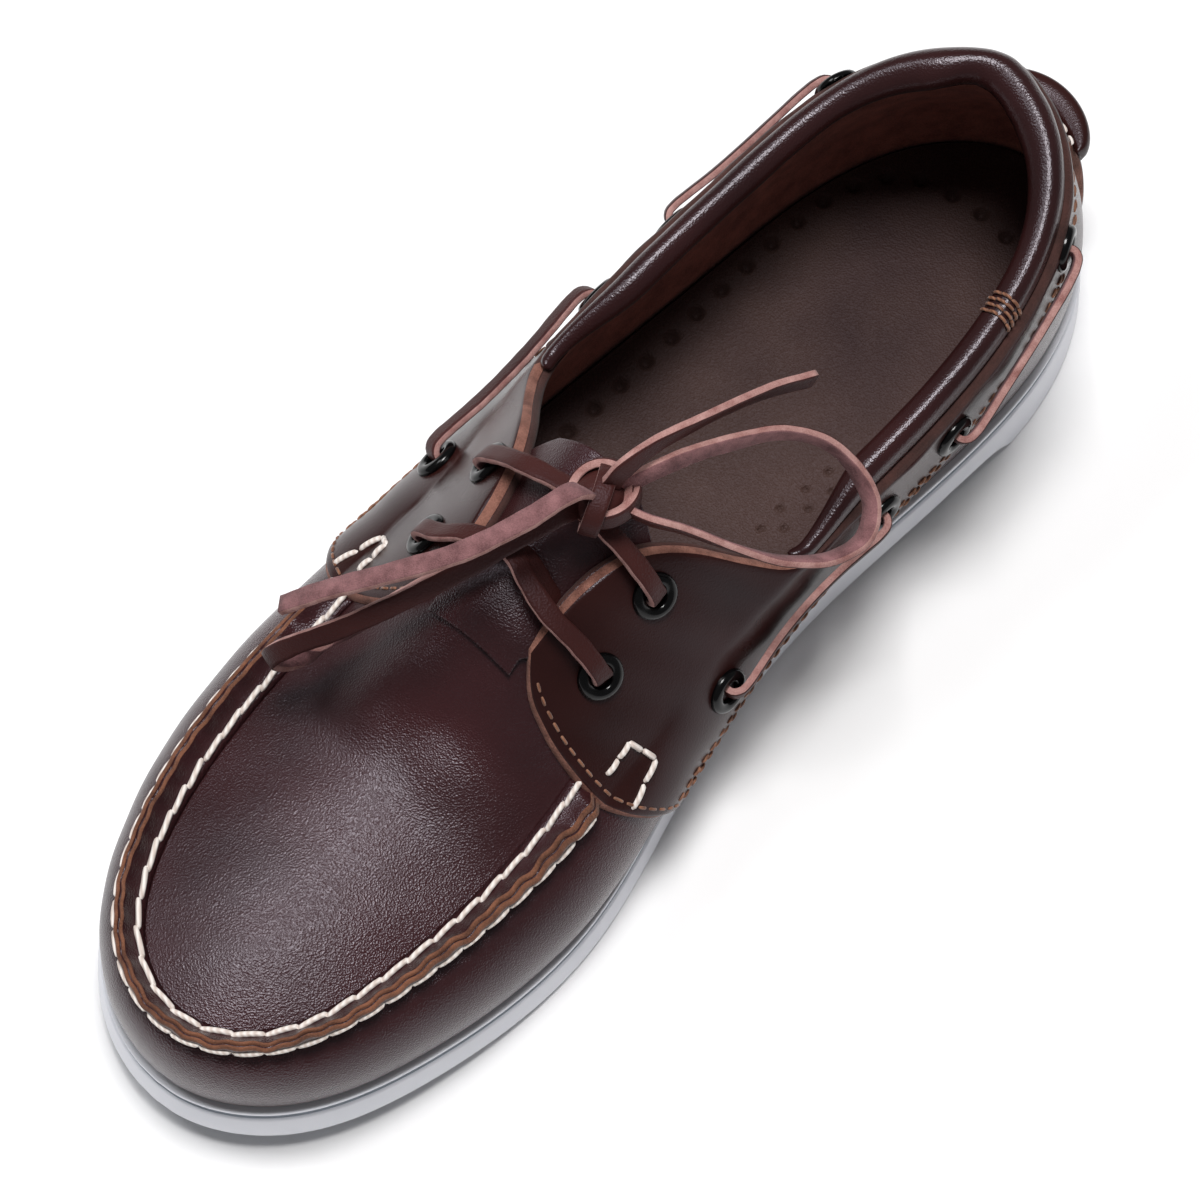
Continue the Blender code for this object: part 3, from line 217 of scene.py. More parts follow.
def leather(t, h):
    """World points of the leather's face: a Bezier up the wall, then one over the plug to the ridge."""
    t, h = np.broadcast_arrays(np.asarray(t, float), np.asarray(h, float))
    place = outline(t)
    d = place[..., 0]
    foot = place - outward(t) * SOLE_LEDGE
    foot_z = sole_top(d / SOLE_LENGTH)
    inset, top, bulge, turn = np.moveaxis(wall_sizes(t), -1, 0)
    ease, heel, toe = 0.047 * SOLE_LENGTH, 0.136 * SOLE_LENGTH, 0.888 * SOLE_LENGTH
    low = heel + ease * np.log1p(np.exp((d - heel) / ease))
    centre_d = toe - ease * np.log1p(np.exp((toe - low) / ease))
    share = centre_d / SOLE_LENGTH
    inward = np.stack([centre_d, ridge_x(share) * BALL_WIDTH], axis=-1) - foot
    reach = np.linalg.norm(inward, axis=-1)
    inward = inward / reach[..., None]
    rise, angle, pull = top - foot_z, turn * math.pi / 2, 0.36 + 0.2 * turn
    ridge = ridge_z(share) * INSTEP_HEIGHT
    low_u, high_u = np.clip(h, 0.0, 1.0), np.clip(h - 1.0, 0.0, 1.0)
    wall_in = bezier(0.0, -bulge, inset - np.sin(angle) * pull * (inset + bulge) * 1.3, inset, low_u)
    wall_up = bezier(foot_z, foot_z + 0.42 * rise, top - np.cos(angle) * pull * rise, top, low_u)
    span = reach - inset
    plug_in = bezier(inset, inset + span * 0.30, inset + span * 0.66, reach, high_u)
    plug_up = bezier(top, top + (ridge - top) * 0.45 + 0.0005, ridge, ridge, high_u)
    along, height = np.where(h > 1.0, plug_in, wall_in), np.where(h > 1.0, plug_up, wall_up)
    return to_world(np.concatenate([foot + inward * along[..., None], height[..., None]], axis=-1))


def leather_normal(t, h):
    """Outward unit normals of the leather's face, from small steps in t and h."""
    t, h = np.asarray(t, float), np.asarray(h, float)
    up = leather(t, np.minimum(h + 0.02, 1.999)) - leather(t, np.maximum(h - 0.02, 0.0))
    along = leather(t + 2e-4, np.minimum(h, 1.97)) - leather(t - 2e-4, np.minimum(h, 1.97))
    normal = np.cross(up, along)
    return normal / np.linalg.norm(normal, axis=-1, keepdims=True)


def raised(t, h, lift):
    """Points at a distance outside the leather's face."""
    t, h, lift = np.broadcast_arrays(np.asarray(t, float), np.asarray(h, float), np.asarray(lift, float))
    return leather(t, h) + leather_normal(t, h) * lift[..., None]


def level(t, z):
    """h at which the leather at t reaches the height z, by interpolation in 160 steps."""
    t, z = np.broadcast_arrays(np.asarray(t, float), np.asarray(z, float))
    steps = np.linspace(0.0, 1.95, 160)
    heights = np.maximum.accumulate(leather(t.reshape(-1)[:, None], steps)[..., 2], axis=1)
    found = [np.interp(want, row, steps) for want, row in zip(z.reshape(-1), heights)]
    return np.array(found).reshape(t.shape)


print("girth of the sole %.0f mm, heel at t %.4f, toe at t %.4f" % (GIRTH / MM, HEEL_T, TOE_T))

# %% [markdown]
# ## Camera
# The photograph looks down on the shoe from its inner front. The angles, the roll and the distance
# come from a fit of the sole's outline and the seam to the picture.

# %% Camera
CAMERA_AZIMUTH, CAMERA_ELEVATION, CAMERA_ROLL = (math.radians(angle) for angle in (37.644, 65.106, -3.186))
# The frame is 795 pixels of the picture wide; the focal length and the shift were fitted in them
FRAME_PIXELS = 795
SENSOR = 36.0
CAMERA_DISTANCE = 0.8963
CAMERA_AIM = np.array([-CENTRE_X, CENTRE_D - SOLE_LENGTH / 2, 0.040])
right = np.array([math.cos(CAMERA_AZIMUTH), math.sin(CAMERA_AZIMUTH), 0.0])
back = np.array([math.sin(CAMERA_AZIMUTH) * math.cos(CAMERA_ELEVATION),
                 -math.cos(CAMERA_AZIMUTH) * math.cos(CAMERA_ELEVATION), math.sin(CAMERA_ELEVATION)])
up = np.cross(back, right)
rolled_right = right * math.cos(CAMERA_ROLL) - up * math.sin(CAMERA_ROLL)
rolled_up = right * math.sin(CAMERA_ROLL) + up * math.cos(CAMERA_ROLL)
turn = Matrix([[*row] for row in np.stack([rolled_right, rolled_up, back], axis=1)]).to_4x4()
camera_data = bpy.data.cameras.new("camera")
camera = bpy.data.objects.new("camera", camera_data)
camera.matrix_world = Matrix.Translation(CAMERA_AIM + back * CAMERA_DISTANCE) @ turn
camera_data.sensor_width = SENSOR
camera_data.lens = SENSOR * 2797 / FRAME_PIXELS
camera_data.shift_x = -15.6 / FRAME_PIXELS
camera_data.shift_y = -33.5 / FRAME_PIXELS
camera_data.clip_start = 0.05
bpy.context.scene.collection.objects.link(camera)
bpy.context.scene.camera = camera
print("camera at", [round(v, 3) for v in camera.matrix_world.translation])

# %% [markdown]
# ## Finishes
# Each material is named for what it really is. Colours are sRGB hex values, and pattern sizes are
# real sizes in millimetres: a scale of 1000 on Object coordinates is one pattern per millimetre.


# %% Node helper and colour
def linear(hex_colour):
    """sRGB hex to linear RGBA."""
    values = np.array([int(hex_colour[i:i + 2], 16) for i in (1, 3, 5)]) / 255
    values = np.where(values <= 0.04045, values / 12.92, ((values + 0.055) / 1.055) ** 2.4)
    return (*values.tolist(), 1.0)


def add_node(tree, kind, settings, sockets):
    """Add one node; a socket given as a value is set, and one given as an output is linked."""
    made = tree.nodes.new("ShaderNode" + kind)
    for name, value in settings.items():
        setattr(made, name, value)
    for name, value in sockets.items():
        if isinstance(value, bpy.types.NodeSocket):
            tree.links.new(value, made.inputs[name])
        else:
            made.inputs[name].default_value = value
    return made


def per_mm(size):
    """Texture scale for a pattern that repeats every size millimetres."""
    return 1.0 / (size * MM)


def new_material(name, sockets):
    """A material with an empty Principled surface, and its tree and shader."""
    material = bpy.data.materials.new(name)
    material.use_nodes = True
    tree = material.node_tree
    shader = tree.nodes["Principled BSDF"]
    for key, value in sockets.items():
        shader.inputs[key].default_value = value
    return material, tree, shader


def finish_surface(tree, shader, factor, light, dark, height, strength, distance):
    """Mix the dark and the light tone by a factor and raise a height, in mm, over the surface."""
    colour = add_node(tree, "Mix", {"data_type": "RGBA"},
                      {"Factor": factor, 6: linear(dark), 7: linear(light)})
    bump = add_node(tree, "Bump", {},
                    {"Strength": strength, "Distance": distance * MM, "Height": height})
    tree.links.new(colour.outputs[2], shader.inputs["Base Color"])
    tree.links.new(bump.outputs[0], shader.inputs["Normal"])
    return bump


# %% [markdown]
# Corrected-grain leather is sanded, pigmented and pressed, then glazed: a dark red brown with a soft
# clear sheen, a very fine pebble and slow changes of tone where it was stretched over the last.
# Where leather is cut or split it shows its fibres: lighter, dull and a little fuzzy.


# %% Leathers
def leather_finish(name, light, dark, roughness, pebble, depth, coat, gloss):
    """Pebble of Voronoi cells under a fine noise, tone from a slow noise, sheen from a coat."""
    material, tree, shader = new_material(name, {
        "Coat Weight": coat, "Coat Roughness": 0.20, "Coat IOR": 1.40, "IOR": 1.40,
        "Specular IOR Level": gloss, "Specular Tint": linear("#f3ecfb")})
    place = add_node(tree, "TexCoord", {}, {}).outputs["Object"]
    waves = add_node(tree, "TexNoise", {}, {"Vector": place, "Scale": per_mm(38), "Detail": 3.0})
    slow = waves.outputs[0]
    cells = add_node(tree, "TexVoronoi", {"feature": "SMOOTH_F1"},
                     {"Vector": place, "Scale": per_mm(pebble), "Smoothness": 0.6})
    fine = add_node(tree, "TexNoise", {}, {"Vector": place, "Scale": per_mm(pebble * 0.35), "Detail": 2.0})
    tone = add_node(tree, "MapRange", {}, {"Value": slow, "From Min": 0.32, "From Max": 0.70})
    sheen = add_node(tree, "MapRange", {}, {"Value": slow, "From Min": 0.3, "From Max": 0.7,
                                            "To Min": roughness + 0.05, "To Max": roughness - 0.04})
    height = add_node(tree, "Math", {"operation": "MULTIPLY_ADD"},
                      {0: fine.outputs[0], 1: 0.35, 2: cells.outputs["Distance"]})
    bump = finish_surface(tree, shader, tone.outputs[0], light, dark, height.outputs[0], depth, 0.25)
    tree.links.new(sheen.outputs[0], shader.inputs["Roughness"])
    tree.links.new(bump.outputs[0], shader.inputs["Coat Normal"])
    return material


def fibre_finish(name, light, dark, grain, depth, sheen=0.05):
    """Napped or cut leather: two noises mix the tone and raise a soft nap."""
    material, tree, shader = new_material(name, {
        "Roughness": 0.9, "Sheen Weight": sheen, "Sheen Roughness": 0.5})
    place = add_node(tree, "TexCoord", {}, {}).outputs["Object"]
    slow = add_node(tree, "TexNoise", {}, {"Vector": place, "Scale": per_mm(grain * 12), "Detail": 4.0})
    fibres = add_node(tree, "TexNoise", {}, {"Vector": place, "Scale": per_mm(grain), "Detail": 4.0})
    nap = fibres.outputs[0]
    blend = add_node(tree, "Math", {"operation": "MULTIPLY_ADD"}, {0: nap, 1: 0.6, 2: slow.outputs[0]})
    tone = add_node(tree, "MapRange", {}, {"Value": blend.outputs[0], "From Min": 0.55, "From Max": 1.05})
    finish_surface(tree, shader, tone.outputs[0], light, dark, nap, depth, 0.3)
    return material


# Numbers: roughness, pebble in mm, depth of the pebble, weight of the glaze, gloss under it.
# Vamp and plug: the glaze gives broad soft lights, broken up by the pressed pebble
UPPER_LEATHER = leather_finish("corrected_grain_leather", "#3a1c1e", "#271112", 0.29, 0.40, 0.48, 0.26, 0.58)
# Saddles: smoother and browner, almost without pebble, so it reads as a quieter sheet
SADDLE_LEATHER = leather_finish("glazed_saddle_leather", "#351b19", "#240f0d", 0.28, 0.36, 0.16, 0.12, 0.28)
# Collar: soft and well glazed, so the foam's round shape catches a long bright line
ROLL_LEATHER = leather_finish("soft_collar_leather", "#341a1a", "#241010", 0.27, 0.45, 0.24, 0.34, 0.44)
# Footbed: no glaze and a deeper pebble, which looks matt and a little grey
FOOTBED_LEATHER = leather_finish("footbed_leather", "#493732", "#362725", 0.50, 0.46, 0.80, 0.0, 0.26)
# Lace, grain side: greased rather than glazed, with a dull shine
LACE_GRAIN = leather_finish("rawhide_grain", "#472522", "#321715", 0.46, 0.45, 0.40, 0.0, 0.26)
# Numbers: size of the fibres in mm and depth of the nap.
# Lace, flesh side and cut edges: dusty pink, the edges palest because no dye reached them
LACE_FLESH = fibre_finish("rawhide_flesh", "#9c6e70", "#644042", 0.30, 1.0)
LACE_EDGE = fibre_finish("rawhide_cut_edge", "#c09690", "#8b5c57", 0.3, 0.6)
# Cut edges of the saddles and the seam: undyed tan; elsewhere the edges are stained dark
RAW_EDGE = fibre_finish("raw_saddle_edge", "#9a6a5b", "#5c352b", 0.35, 0.9)
SEAM_EDGE = fibre_finish("raw_seam_edge", "#8c5a41", "#4e2d1f", 0.4, 1.0)
DARK_EDGE = fibre_finish("stained_leather_edge", "#4b2b26", "#321a16", 0.4, 0.7)
# Lining: brushed suede, soft pink brown without any light on it
SUEDE = fibre_finish("suede_lining", "#b97a6c", "#85524a", 0.5, 0.7)
print("leathers:", len(bpy.data.materials))

# %% [markdown]
# The sole is moulded white rubber with a satin skin, and the threads are waxed. The eyelets are
# brass under black lacquer, which mirrors the lamps as small bright spots.


# %% Rubber, thread, lacquer and cloth
def rubber_finish(name, light, dark):
    """Moulded rubber: nearly even, with a faint mottle and a soft satin skin."""
    material, tree, shader = new_material(name, {"Roughness": 0.42, "Specular IOR Level": 0.45})
    place = add_node(tree, "TexCoord", {}, {}).outputs["Object"]
    mottle = add_node(tree, "TexNoise", {}, {"Vector": place, "Scale": per_mm(9), "Detail": 4.0})
    skin = add_node(tree, "TexNoise", {}, {"Vector": place, "Scale": per_mm(0.6), "Detail": 2.0})
    finish_surface(tree, shader, mottle.outputs[0], light, dark, skin.outputs[0], 0.12, 0.1)
    return material


def tread_finish(name, light, dark, hole):
    """The underside: square pits where max(|x|, |y|) in each 4.2 mm cell is small, turned 12 degrees, with
    painted shade in the pits.
    """
    material, tree, shader = new_material(name, {"Roughness": 0.55})
    place = add_node(tree, "TexCoord", {}, {}).outputs["Object"]
    turned = add_node(tree, "Mapping", {}, {"Vector": place, "Rotation": (0, 0, math.radians(12)),
                                            "Scale": (per_mm(4.2), per_mm(4.2), 0.0)})
    cell = add_node(tree, "VectorMath", {"operation": "FRACTION"}, {0: turned.outputs[0]})
    away = add_node(tree, "VectorMath", {"operation": "SUBTRACT"}, {0: cell.outputs[0], 1: (0.5, 0.5, 0.0)})
    size = add_node(tree, "VectorMath", {"operation": "ABSOLUTE"}, {0: away.outputs[0]})
    parts = add_node(tree, "SeparateXYZ", {}, {0: size.outputs[0]})
    far = add_node(tree, "Math", {"operation": "MAXIMUM"}, {0: parts.outputs[0], 1: parts.outputs[1]})
    edge = add_node(tree, "MapRange", {}, {"Value": far.outputs[0], "From Min": 0.20, "From Max": 0.26})
    pit = edge.outputs[0]
    mottle = add_node(tree, "TexNoise", {}, {"Vector": place, "Scale": per_mm(12), "Detail": 4.0})
    finish_surface(tree, shader, mottle.outputs[0], light, dark, pit, 0.9, 1.0)
    tone = shader.inputs["Base Color"].links[0].from_socket
    # Inside each pit the dark pit colour: painted shade in the recess
    mixed = add_node(tree, "Mix", {"data_type": "RGBA"}, {"Factor": pit, 6: linear(hole), 7: tone})
    tree.links.new(mixed.outputs[2], shader.inputs["Base Color"])
    return material


def thread_finish(name, light, dark):
    """Waxed twisted thread: a wave at 0.5 mm gives the plies."""
    material, tree, shader = new_material(name, {"Roughness": 0.6, "Sheen Weight": 0.2})
    place = add_node(tree, "TexCoord", {}, {}).outputs["Object"]
    twist = add_node(tree, "TexWave", {"bands_direction": "DIAGONAL"},
                     {"Vector": place, "Scale": per_mm(0.5) / 6.3, "Distortion": 1.5, "Detail": 1.0})
    plies = twist.outputs[1]
    finish_surface(tree, shader, plies, light, dark, plies, 0.5, 0.15)
    return material


# Sole: a cool white; the groove's floor is painted greyer as shade, and the tread's pits are painted dark as
# shade
WHITE_RUBBER = rubber_finish("moulded_white_rubber", "#f1f2f8", "#e7e9f1")
# Grey of the groove: painted shade in the recess
GROOVE_SHADE_RUBBER = rubber_finish("rubber_groove_painted_shade", "#b9bfc9", "#a9b0bb")
# The last colour is painted shade in the tread's pits
TREAD_RUBBER = tread_finish("tread_rubber", "#c6cad1", "#b4b9c2", "#5e636c")
# Threads: the seam's is a warm white cord, the fine rows are tan and nearly sink into the leather
WHITE_THREAD = thread_finish("waxed_white_thread", "#f4ece6", "#d5c6bd")
TAN_THREAD = thread_finish("waxed_tan_thread", "#8e5f45", "#6a4029")
# Lacquer: near black with sharp small lights; under it a near-black disc in the hole is painted shade
EYELET_LACQUER = new_material("black_lacquer_on_brass", {
    "Base Color": linear("#050506"), "Roughness": 0.17, "Specular IOR Level": 0.3})[0]
PAINTED_HOLE_SHADE = new_material("painted_hole_shade", {"Base Color": linear("#080506"), "Roughness": 0.9})[0]
# Tag: dark woven cloth, a soft dull patch
TAG_CLOTH = fibre_finish("plain_woven_tag", "#2a1c2e", "#1a1120", 0.4, 0.6, sheen=0.3)
print("materials:", len(bpy.data.materials))

# %% [markdown]
# ## Pieces from grids
# A piece is a grid of points worked out as whole arrays. Each grid square becomes one face, and the
# face numbers are worked out as arrays too.


# %% Mesh to piece
def mesh_piece(name, vertices, faces, numbers, finishes, merge, tidy):
    """A smooth shaded object that rides the shoe.

    merge is the distance at which doubled points are joined, and tidy turns the faces outwards."""
    mesh = bpy.data.meshes.new(name)
    mesh.from_pydata(vertices, [], faces)
    for material in finishes:
        mesh.materials.append(material)
    mesh.polygons.foreach_set("material_index", numbers.astype(np.int32))
    if merge or tidy:
        shape = bmesh.new()
        shape.from_mesh(mesh)
        if merge:
            bmesh.ops.remove_doubles(shape, verts=shape.verts, dist=merge)
        if tidy:
            bmesh.ops.recalc_face_normals(shape, faces=shape.faces)
        shape.to_mesh(mesh)
        shape.free()
    mesh.shade_smooth()
    piece = bpy.data.objects.new(name, mesh)
    bpy.context.scene.collection.objects.link(piece)
    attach(piece, "root")
    return piece


# %% Grid to mesh
def add_piece(name, grids, finishes, merge=0.0, tidy=False):
    """Join grids into one mesh. A grid is (points, closed across, closed along, finish number or array)."""
    vertices, faces, finish = [], [], []
    start = 0
    for points, wrap_columns, wrap_rows, number in grids:
        rows, columns = points.shape[:2]
        r, c = np.meshgrid(np.arange(rows if wrap_rows else rows - 1),
                           np.arange(columns if wrap_columns else columns - 1), indexing="ij")
        up_row, next_column = (r + 1) % rows, (c + 1) % columns
        quads = np.stack([r * columns + c, up_row * columns + c, up_row * columns + next_column,
                          r * columns + next_column], axis=-1)
        vertices.append(points.reshape(-1, 3))
        faces.append(quads.reshape(-1, 4) + start)
        finish.append(np.broadcast_to(number, quads.shape[:2]).reshape(-1))
        start += rows * columns
    return mesh_piece(name, np.concatenate(vertices), np.concatenate(faces), np.concatenate(finish), finishes,
                      merge, tidy)


# %% Lines of points
def arc_length(points):
    """Distance along a line of points."""
    return np.concatenate([[0.0], np.cumsum(np.linalg.norm(np.diff(points, axis=0), axis=1))])


def spread(wanted, run, values):
    """Values carried by a line's points, each column interpolated at given distances along it."""
    return np.stack([np.interp(wanted, run, column) for column in values.T], axis=1)


def along_line(points, wanted):
    """Points at given distances along a line."""
    return spread(wanted, arc_length(points), points)


def smooth_columns(place, rows, wanted):
    """A smooth curve through rows at the given places, column by column."""
    return np.stack([table_curve(list(zip(place, column)), level=False)(wanted) for column in rows.T], axis=1)


def smooth_line(points, count):
    """Evenly spaced points on a smooth curve through a route's own points."""
    place = arc_length(points)
    line = smooth_columns(place, points, np.linspace(0.0, place[-1], 1200))
    return along_line(line, np.linspace(0.0, arc_length(line)[-1], count))


def unit(vectors):
    """Vectors made unit length."""
    return vectors / np.maximum(np.linalg.norm(vectors, axis=-1, keepdims=True), 1e-12)


# %% [markdown]
# ## The lace
# The real lace is a flat strip cut from rawhide: a dark grain side, and pale cut edges and flesh
# side. A strip bends only over its thin side, so each run has a direction for its width, and the
# section is carried along the path as an array. The bow's runs are free cords.

# %% Lace section and runs
LACE_WIDTH = 0.0043
LACE_THICKNESS = 0.0017
LACE_PROFILE = np.array([
    # halves of the width, halves of the thickness
    (-1.00, -0.70), (-0.93, -0.98), (0.0, -1.00), (0.93, -0.98), (1.00, -0.70), (1.02, 0.0), (1.00, 0.72),
    (0.93, 0.96), (0.60, 1.04), (0.0, 1.06), (-0.60, 1.04), (-0.93, 0.96), (-1.00, 0.72), (-1.02, 0.0),
])
# Finish of each face of the profile: 0 grain side, 1 flesh side, 2 cut edge
LACE_FACE = np.array([1, 1, 1, 2, 2, 2, 0, 0, 0, 0, 0, 0, 2, 2])
LACE_FINISHES = [LACE_GRAIN, LACE_FLESH, LACE_EDGE]
WOBBLE = 0.03


def ribbon(path, across, seed):
    """Grid of a strip: at each point, the profile times the width direction and the face direction.

    The width varies by a few hundredths, as hand-cut hide does, and seed shifts that wave."""
    tangent = unit(np.gradient(path, axis=0))
    across = np.broadcast_to(np.asarray(across, float), path.shape)
    across = unit(across - tangent * (across * tangent).sum(axis=1, keepdims=True))
    face = np.cross(tangent, across)
    run = arc_length(path)
    vary = 1.0 + WOBBLE * np.sin(run * 520 + seed) + 0.6 * WOBBLE * np.sin(run * 1310 + 2.1 * seed)
    rim = (LACE_PROFILE[None, :, :1] * across[:, None] * (LACE_WIDTH / 2 * vary)[:, None, None]
           + LACE_PROFILE[None, :, 1:] * face[:, None] * LACE_THICKNESS / 2)
    body = path[:, None] + rim
    ends = [np.repeat(path[k][None, None], len(LACE_PROFILE), axis=1) for k in (0, -1)]
    near = [body[:1] * 0.5 + ends[0] * 0.5, body[-1:] * 0.5 + ends[1] * 0.5]
    return np.concatenate([ends[0], near[0], body, near[1], ends[1]])


def add_lace(name, grids):
    """A piece of one or more strips, with the cut ends finished like the cut edges."""
    strips = []
    for grid in grids:
        finish = np.broadcast_to(LACE_FACE, (len(grid) - 1, len(LACE_FACE))).copy()
        finish[[0, 1, -2, -1]] = 2
        strips.append((grid, True, False, finish))
    piece = add_piece(name, strips, LACE_FINISHES, merge=1e-6, tidy=True)
    return piece


def route(rows):
    """Shares of width, length and height to world points."""
    across, along, high = (np.array(rows, float) * [BALL_WIDTH, SOLE_LENGTH, INSTEP_HEIGHT]).T
    return to_world(np.stack([along, across, high], axis=-1))


# %% The bow's routes
KNOT = route([(0.0330, 0.5458, 0.9978)])[0]
# How far from the knot's centre a run leaves it
KNOT_REACH = 0.0042
LOOP_RIGHT = [
    (0.090, 0.5102, 1.049), (0.118, 0.4881, 1.052), (0.160, 0.4556, 1.027), (0.202, 0.4237, 0.978),
    (0.267, 0.4000, 0.908), (0.333, 0.3942, 0.837), (0.389, 0.4017, 0.788), (0.416, 0.4214, 0.766),
    (0.401, 0.4451, 0.766), (0.348, 0.4729, 0.799), (0.256, 0.5000, 0.870), (0.179, 0.5203, 0.940),
    (0.132, 0.5339, 0.978),
]
END_RIGHT = [
    (0.057, 0.5305, 1.103), (0.071, 0.5085, 1.120), (0.098, 0.4746, 1.109), (0.118, 0.4441, 1.078),
    (0.142, 0.4102, 1.033), (0.174, 0.3786, 0.984),
]
END_LEFT = [
    (0.019, 0.5644, 1.100), (-0.009, 0.6034, 1.109), (-0.063, 0.6441, 1.076), (-0.159, 0.6851, 1.011),
    (-0.247, 0.7149, 0.935), (-0.304, 0.7346, 0.870),
]
LOOP_LEFT = [
    (0.005, 0.5814, 1.027), (-0.024, 0.6102, 1.016), (-0.080, 0.6508, 0.957), (-0.142, 0.6864, 0.886),
    (-0.212, 0.7224, 0.818), (-0.262, 0.7416, 0.766), (-0.290, 0.7512, 0.718), (-0.301, 0.7515, 0.668),
    (-0.291, 0.7424, 0.631), (-0.268, 0.7270, 0.625), (-0.236, 0.7051, 0.655), (-0.175, 0.6678, 0.752),
    (-0.108, 0.6339, 0.848), (-0.061, 0.6034, 0.918), (-0.028, 0.5763, 0.962),
]


# %% The free runs of the bow
def free_run(name, rows, count, grain, loop, seed):
    """One loop or end of the bow, as a free cord. grain lists where its dark side looks."""
    points = route(rows)
    start = KNOT + unit(points[0] - KNOT) * KNOT_REACH
    finish = [KNOT + unit(points[-1] - KNOT) * KNOT_REACH] if loop else []
    path = smooth_line(np.array([start, *points, *finish]), count)
    places = np.linspace(0.0, 1.0, len(grain))
    look = smooth_columns(places, np.array(grain, float), np.linspace(0.0, 1.0, count)) @ CAMERA_AXES
    across = np.cross(look, unit(np.gradient(path, axis=0)))
    piece = add_lace("bow_" + name, [ribbon(path, across, seed)])
    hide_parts("lace_" + name)


CAMERA_AXES = np.stack([rolled_right, rolled_up, back])
# Where the grain side looks, as shares of the picture's right, its up and the way to the camera
GRAIN_LOOKS = {
    "loop_right": [(-0.2, 0.8, -0.6), (0.2, 0.8, -0.7), (0.8, 0.3, -0.6), (0.3, -0.8, -0.5),
                   (0.1, -0.9, -0.2), (0.0, -0.9, 0.2)],
    "loop_left": [(0.2, -0.3, 0.9), (0.2, -0.4, 0.9), (-0.2, -0.5, 0.8), (-0.9, -0.2, -0.2),
                  (0.0, 0.2, -0.9), (0.0, 0.2, -0.9)],
    "end_right": [(0.2, -0.6, 0.7), (0.2, -0.85, 0.35), (0.2, -0.8, 0.5)],
    "end_left": [(0.1, -0.5, -0.8), (0.1, -0.5, -0.9), (0.1, -0.6, -0.8)],
}
free_run("loop_right", LOOP_RIGHT, 100, GRAIN_LOOKS["loop_right"], True, 1)
free_run("loop_left", LOOP_LEFT, 100, GRAIN_LOOKS["loop_left"], True, 2)
free_run("end_right", END_RIGHT, 44, GRAIN_LOOKS["end_right"], False, 3)
free_run("end_left", END_LEFT, 50, GRAIN_LOOKS["end_left"], False, 4)

# %% [markdown]
# ## The sole unit
# Sole and side wall are one moulding of white rubber. Rings of points are stacked from the top
# ledge, round the groove and down the flared wall, and ladders of faces close the top and the
# tread. The heel breast, the arch and the toe spring come from the same tables as the last.


# %% Outsole
def paired_columns(count):
    """t and d of columns in the order heel, inner side, toe, outer side, closer together at the tips."""
    d = (1 - np.cos(np.linspace(0.0, math.pi, count))) / 2 * SOLE_LENGTH
    inner, outer = at_side("inner", d[1:-1]), at_side("outer", d[1:-1])[::-1]
    return np.concatenate([[HEEL_T], inner, [TOE_T], outer]), np.concatenate([d, d[1:-1][::-1]])


def ring(t, inset, height):
    """One ring: the outline moved in by a distance, at a height."""
    flat = outline(t) - outward(t) * np.broadcast_to(inset, t.shape)[:, None]
    return to_world(np.concatenate([flat, np.broadcast_to(height, t.shape)[:, None]], axis=-1))


def ladder(edge, steps):
    """Straight rows across a ring, from each inner column to its partner on the outer side."""
    half = len(edge) // 2
    far = edge[(-np.arange(half + 1)) % len(edge)]
    u = np.linspace(0.0, 1.0, steps)[None, :, None]
    return edge[:half + 1, None] * (1 - u) + far[:, None] * u


SOLE_UPPER_RINGS = np.array([
    # inset, below the top, in mm
    (8.00, 0.20), (2.20, 0.00), (1.75, 0.03), (1.50, 0.14), (1.40, 0.40), (1.40, 1.15), (1.46, 1.50),
    (1.80, 1.80), (2.25, 2.05), (2.35, 2.35), (2.35, 2.95), (2.20, 3.25), (1.60, 3.50), (1.15, 3.75),
    (1.00, 4.20),
]) * MM
SOLE_LOWER_RINGS = np.array([
    # inset, above the bottom, in mm
    (0.00, 1.50), (0.05, 0.90), (0.30, 0.38), (0.70, 0.10), (1.20, 0.00), (3.0, 0.0), (8.0, 0.0),
]) * MM
# Where the side wall between them begins below the top and ends above the bottom
WALL_TOP, WALL_FOOT = 0.0042, 0.0015
sole_t, sole_d = paired_columns(240)
top, bottom = sole_top(sole_d / SOLE_LENGTH), sole_bottom(sole_d / SOLE_LENGTH)
rings = [ring(sole_t, inset, top - down) for inset, down in SOLE_UPPER_RINGS]
for share in np.linspace(0.0, 1.0, 8)[1:-1]:
    level_z = (top - WALL_TOP) * (1 - share) + (bottom + WALL_FOOT) * share
    rings.append(ring(sole_t, 0.001 * (1 - share) ** 1.5, level_z))
rings += [ring(sole_t, inset, bottom + rise) for inset, rise in SOLE_LOWER_RINGS]
wall = np.stack(rings)
# White wall, grey painted shade in the groove, tread underneath
row_finish = np.zeros(len(rings) - 1, int)
row_finish[7:12] = 1
row_finish[-2:] = 2
sole_grids = [(wall, True, False, row_finish[:, None]), (ladder(wall[0], 14), False, False, 0),
              (ladder(wall[-1], 20), False, False, 2)]
sole_finishes = [WHITE_RUBBER, GROOVE_SHADE_RUBBER, TREAD_RUBBER]
sole = add_piece("outsole_rubber", sole_grids, sole_finishes, merge=1e-6, tidy=True)
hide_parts("outsole")
print("sole faces:", len(sole.data.polygons))

# %% [markdown]
# ## The footbed
# A leather-covered insole lies inside. It is dished towards the middle. A row of round dimples, 8 mm
# apart, follows the outer edge and the heel, and seven small air holes lie at the inner side of the
# waist. Their places were measured. They are pressed into a grid fine enough to hold each bowl.


# %% Footbed
def pits(points, places, radius, depth):
    """Lower each point by a smooth bowl under every pit centre it is near."""
    drop = np.zeros(points.shape[:-1])
    for x, y in places:
        away = np.hypot(points[..., 0] - x, points[..., 1] - y) / radius
        drop = np.maximum(drop, depth * (1 - smooth(away)))
    return drop


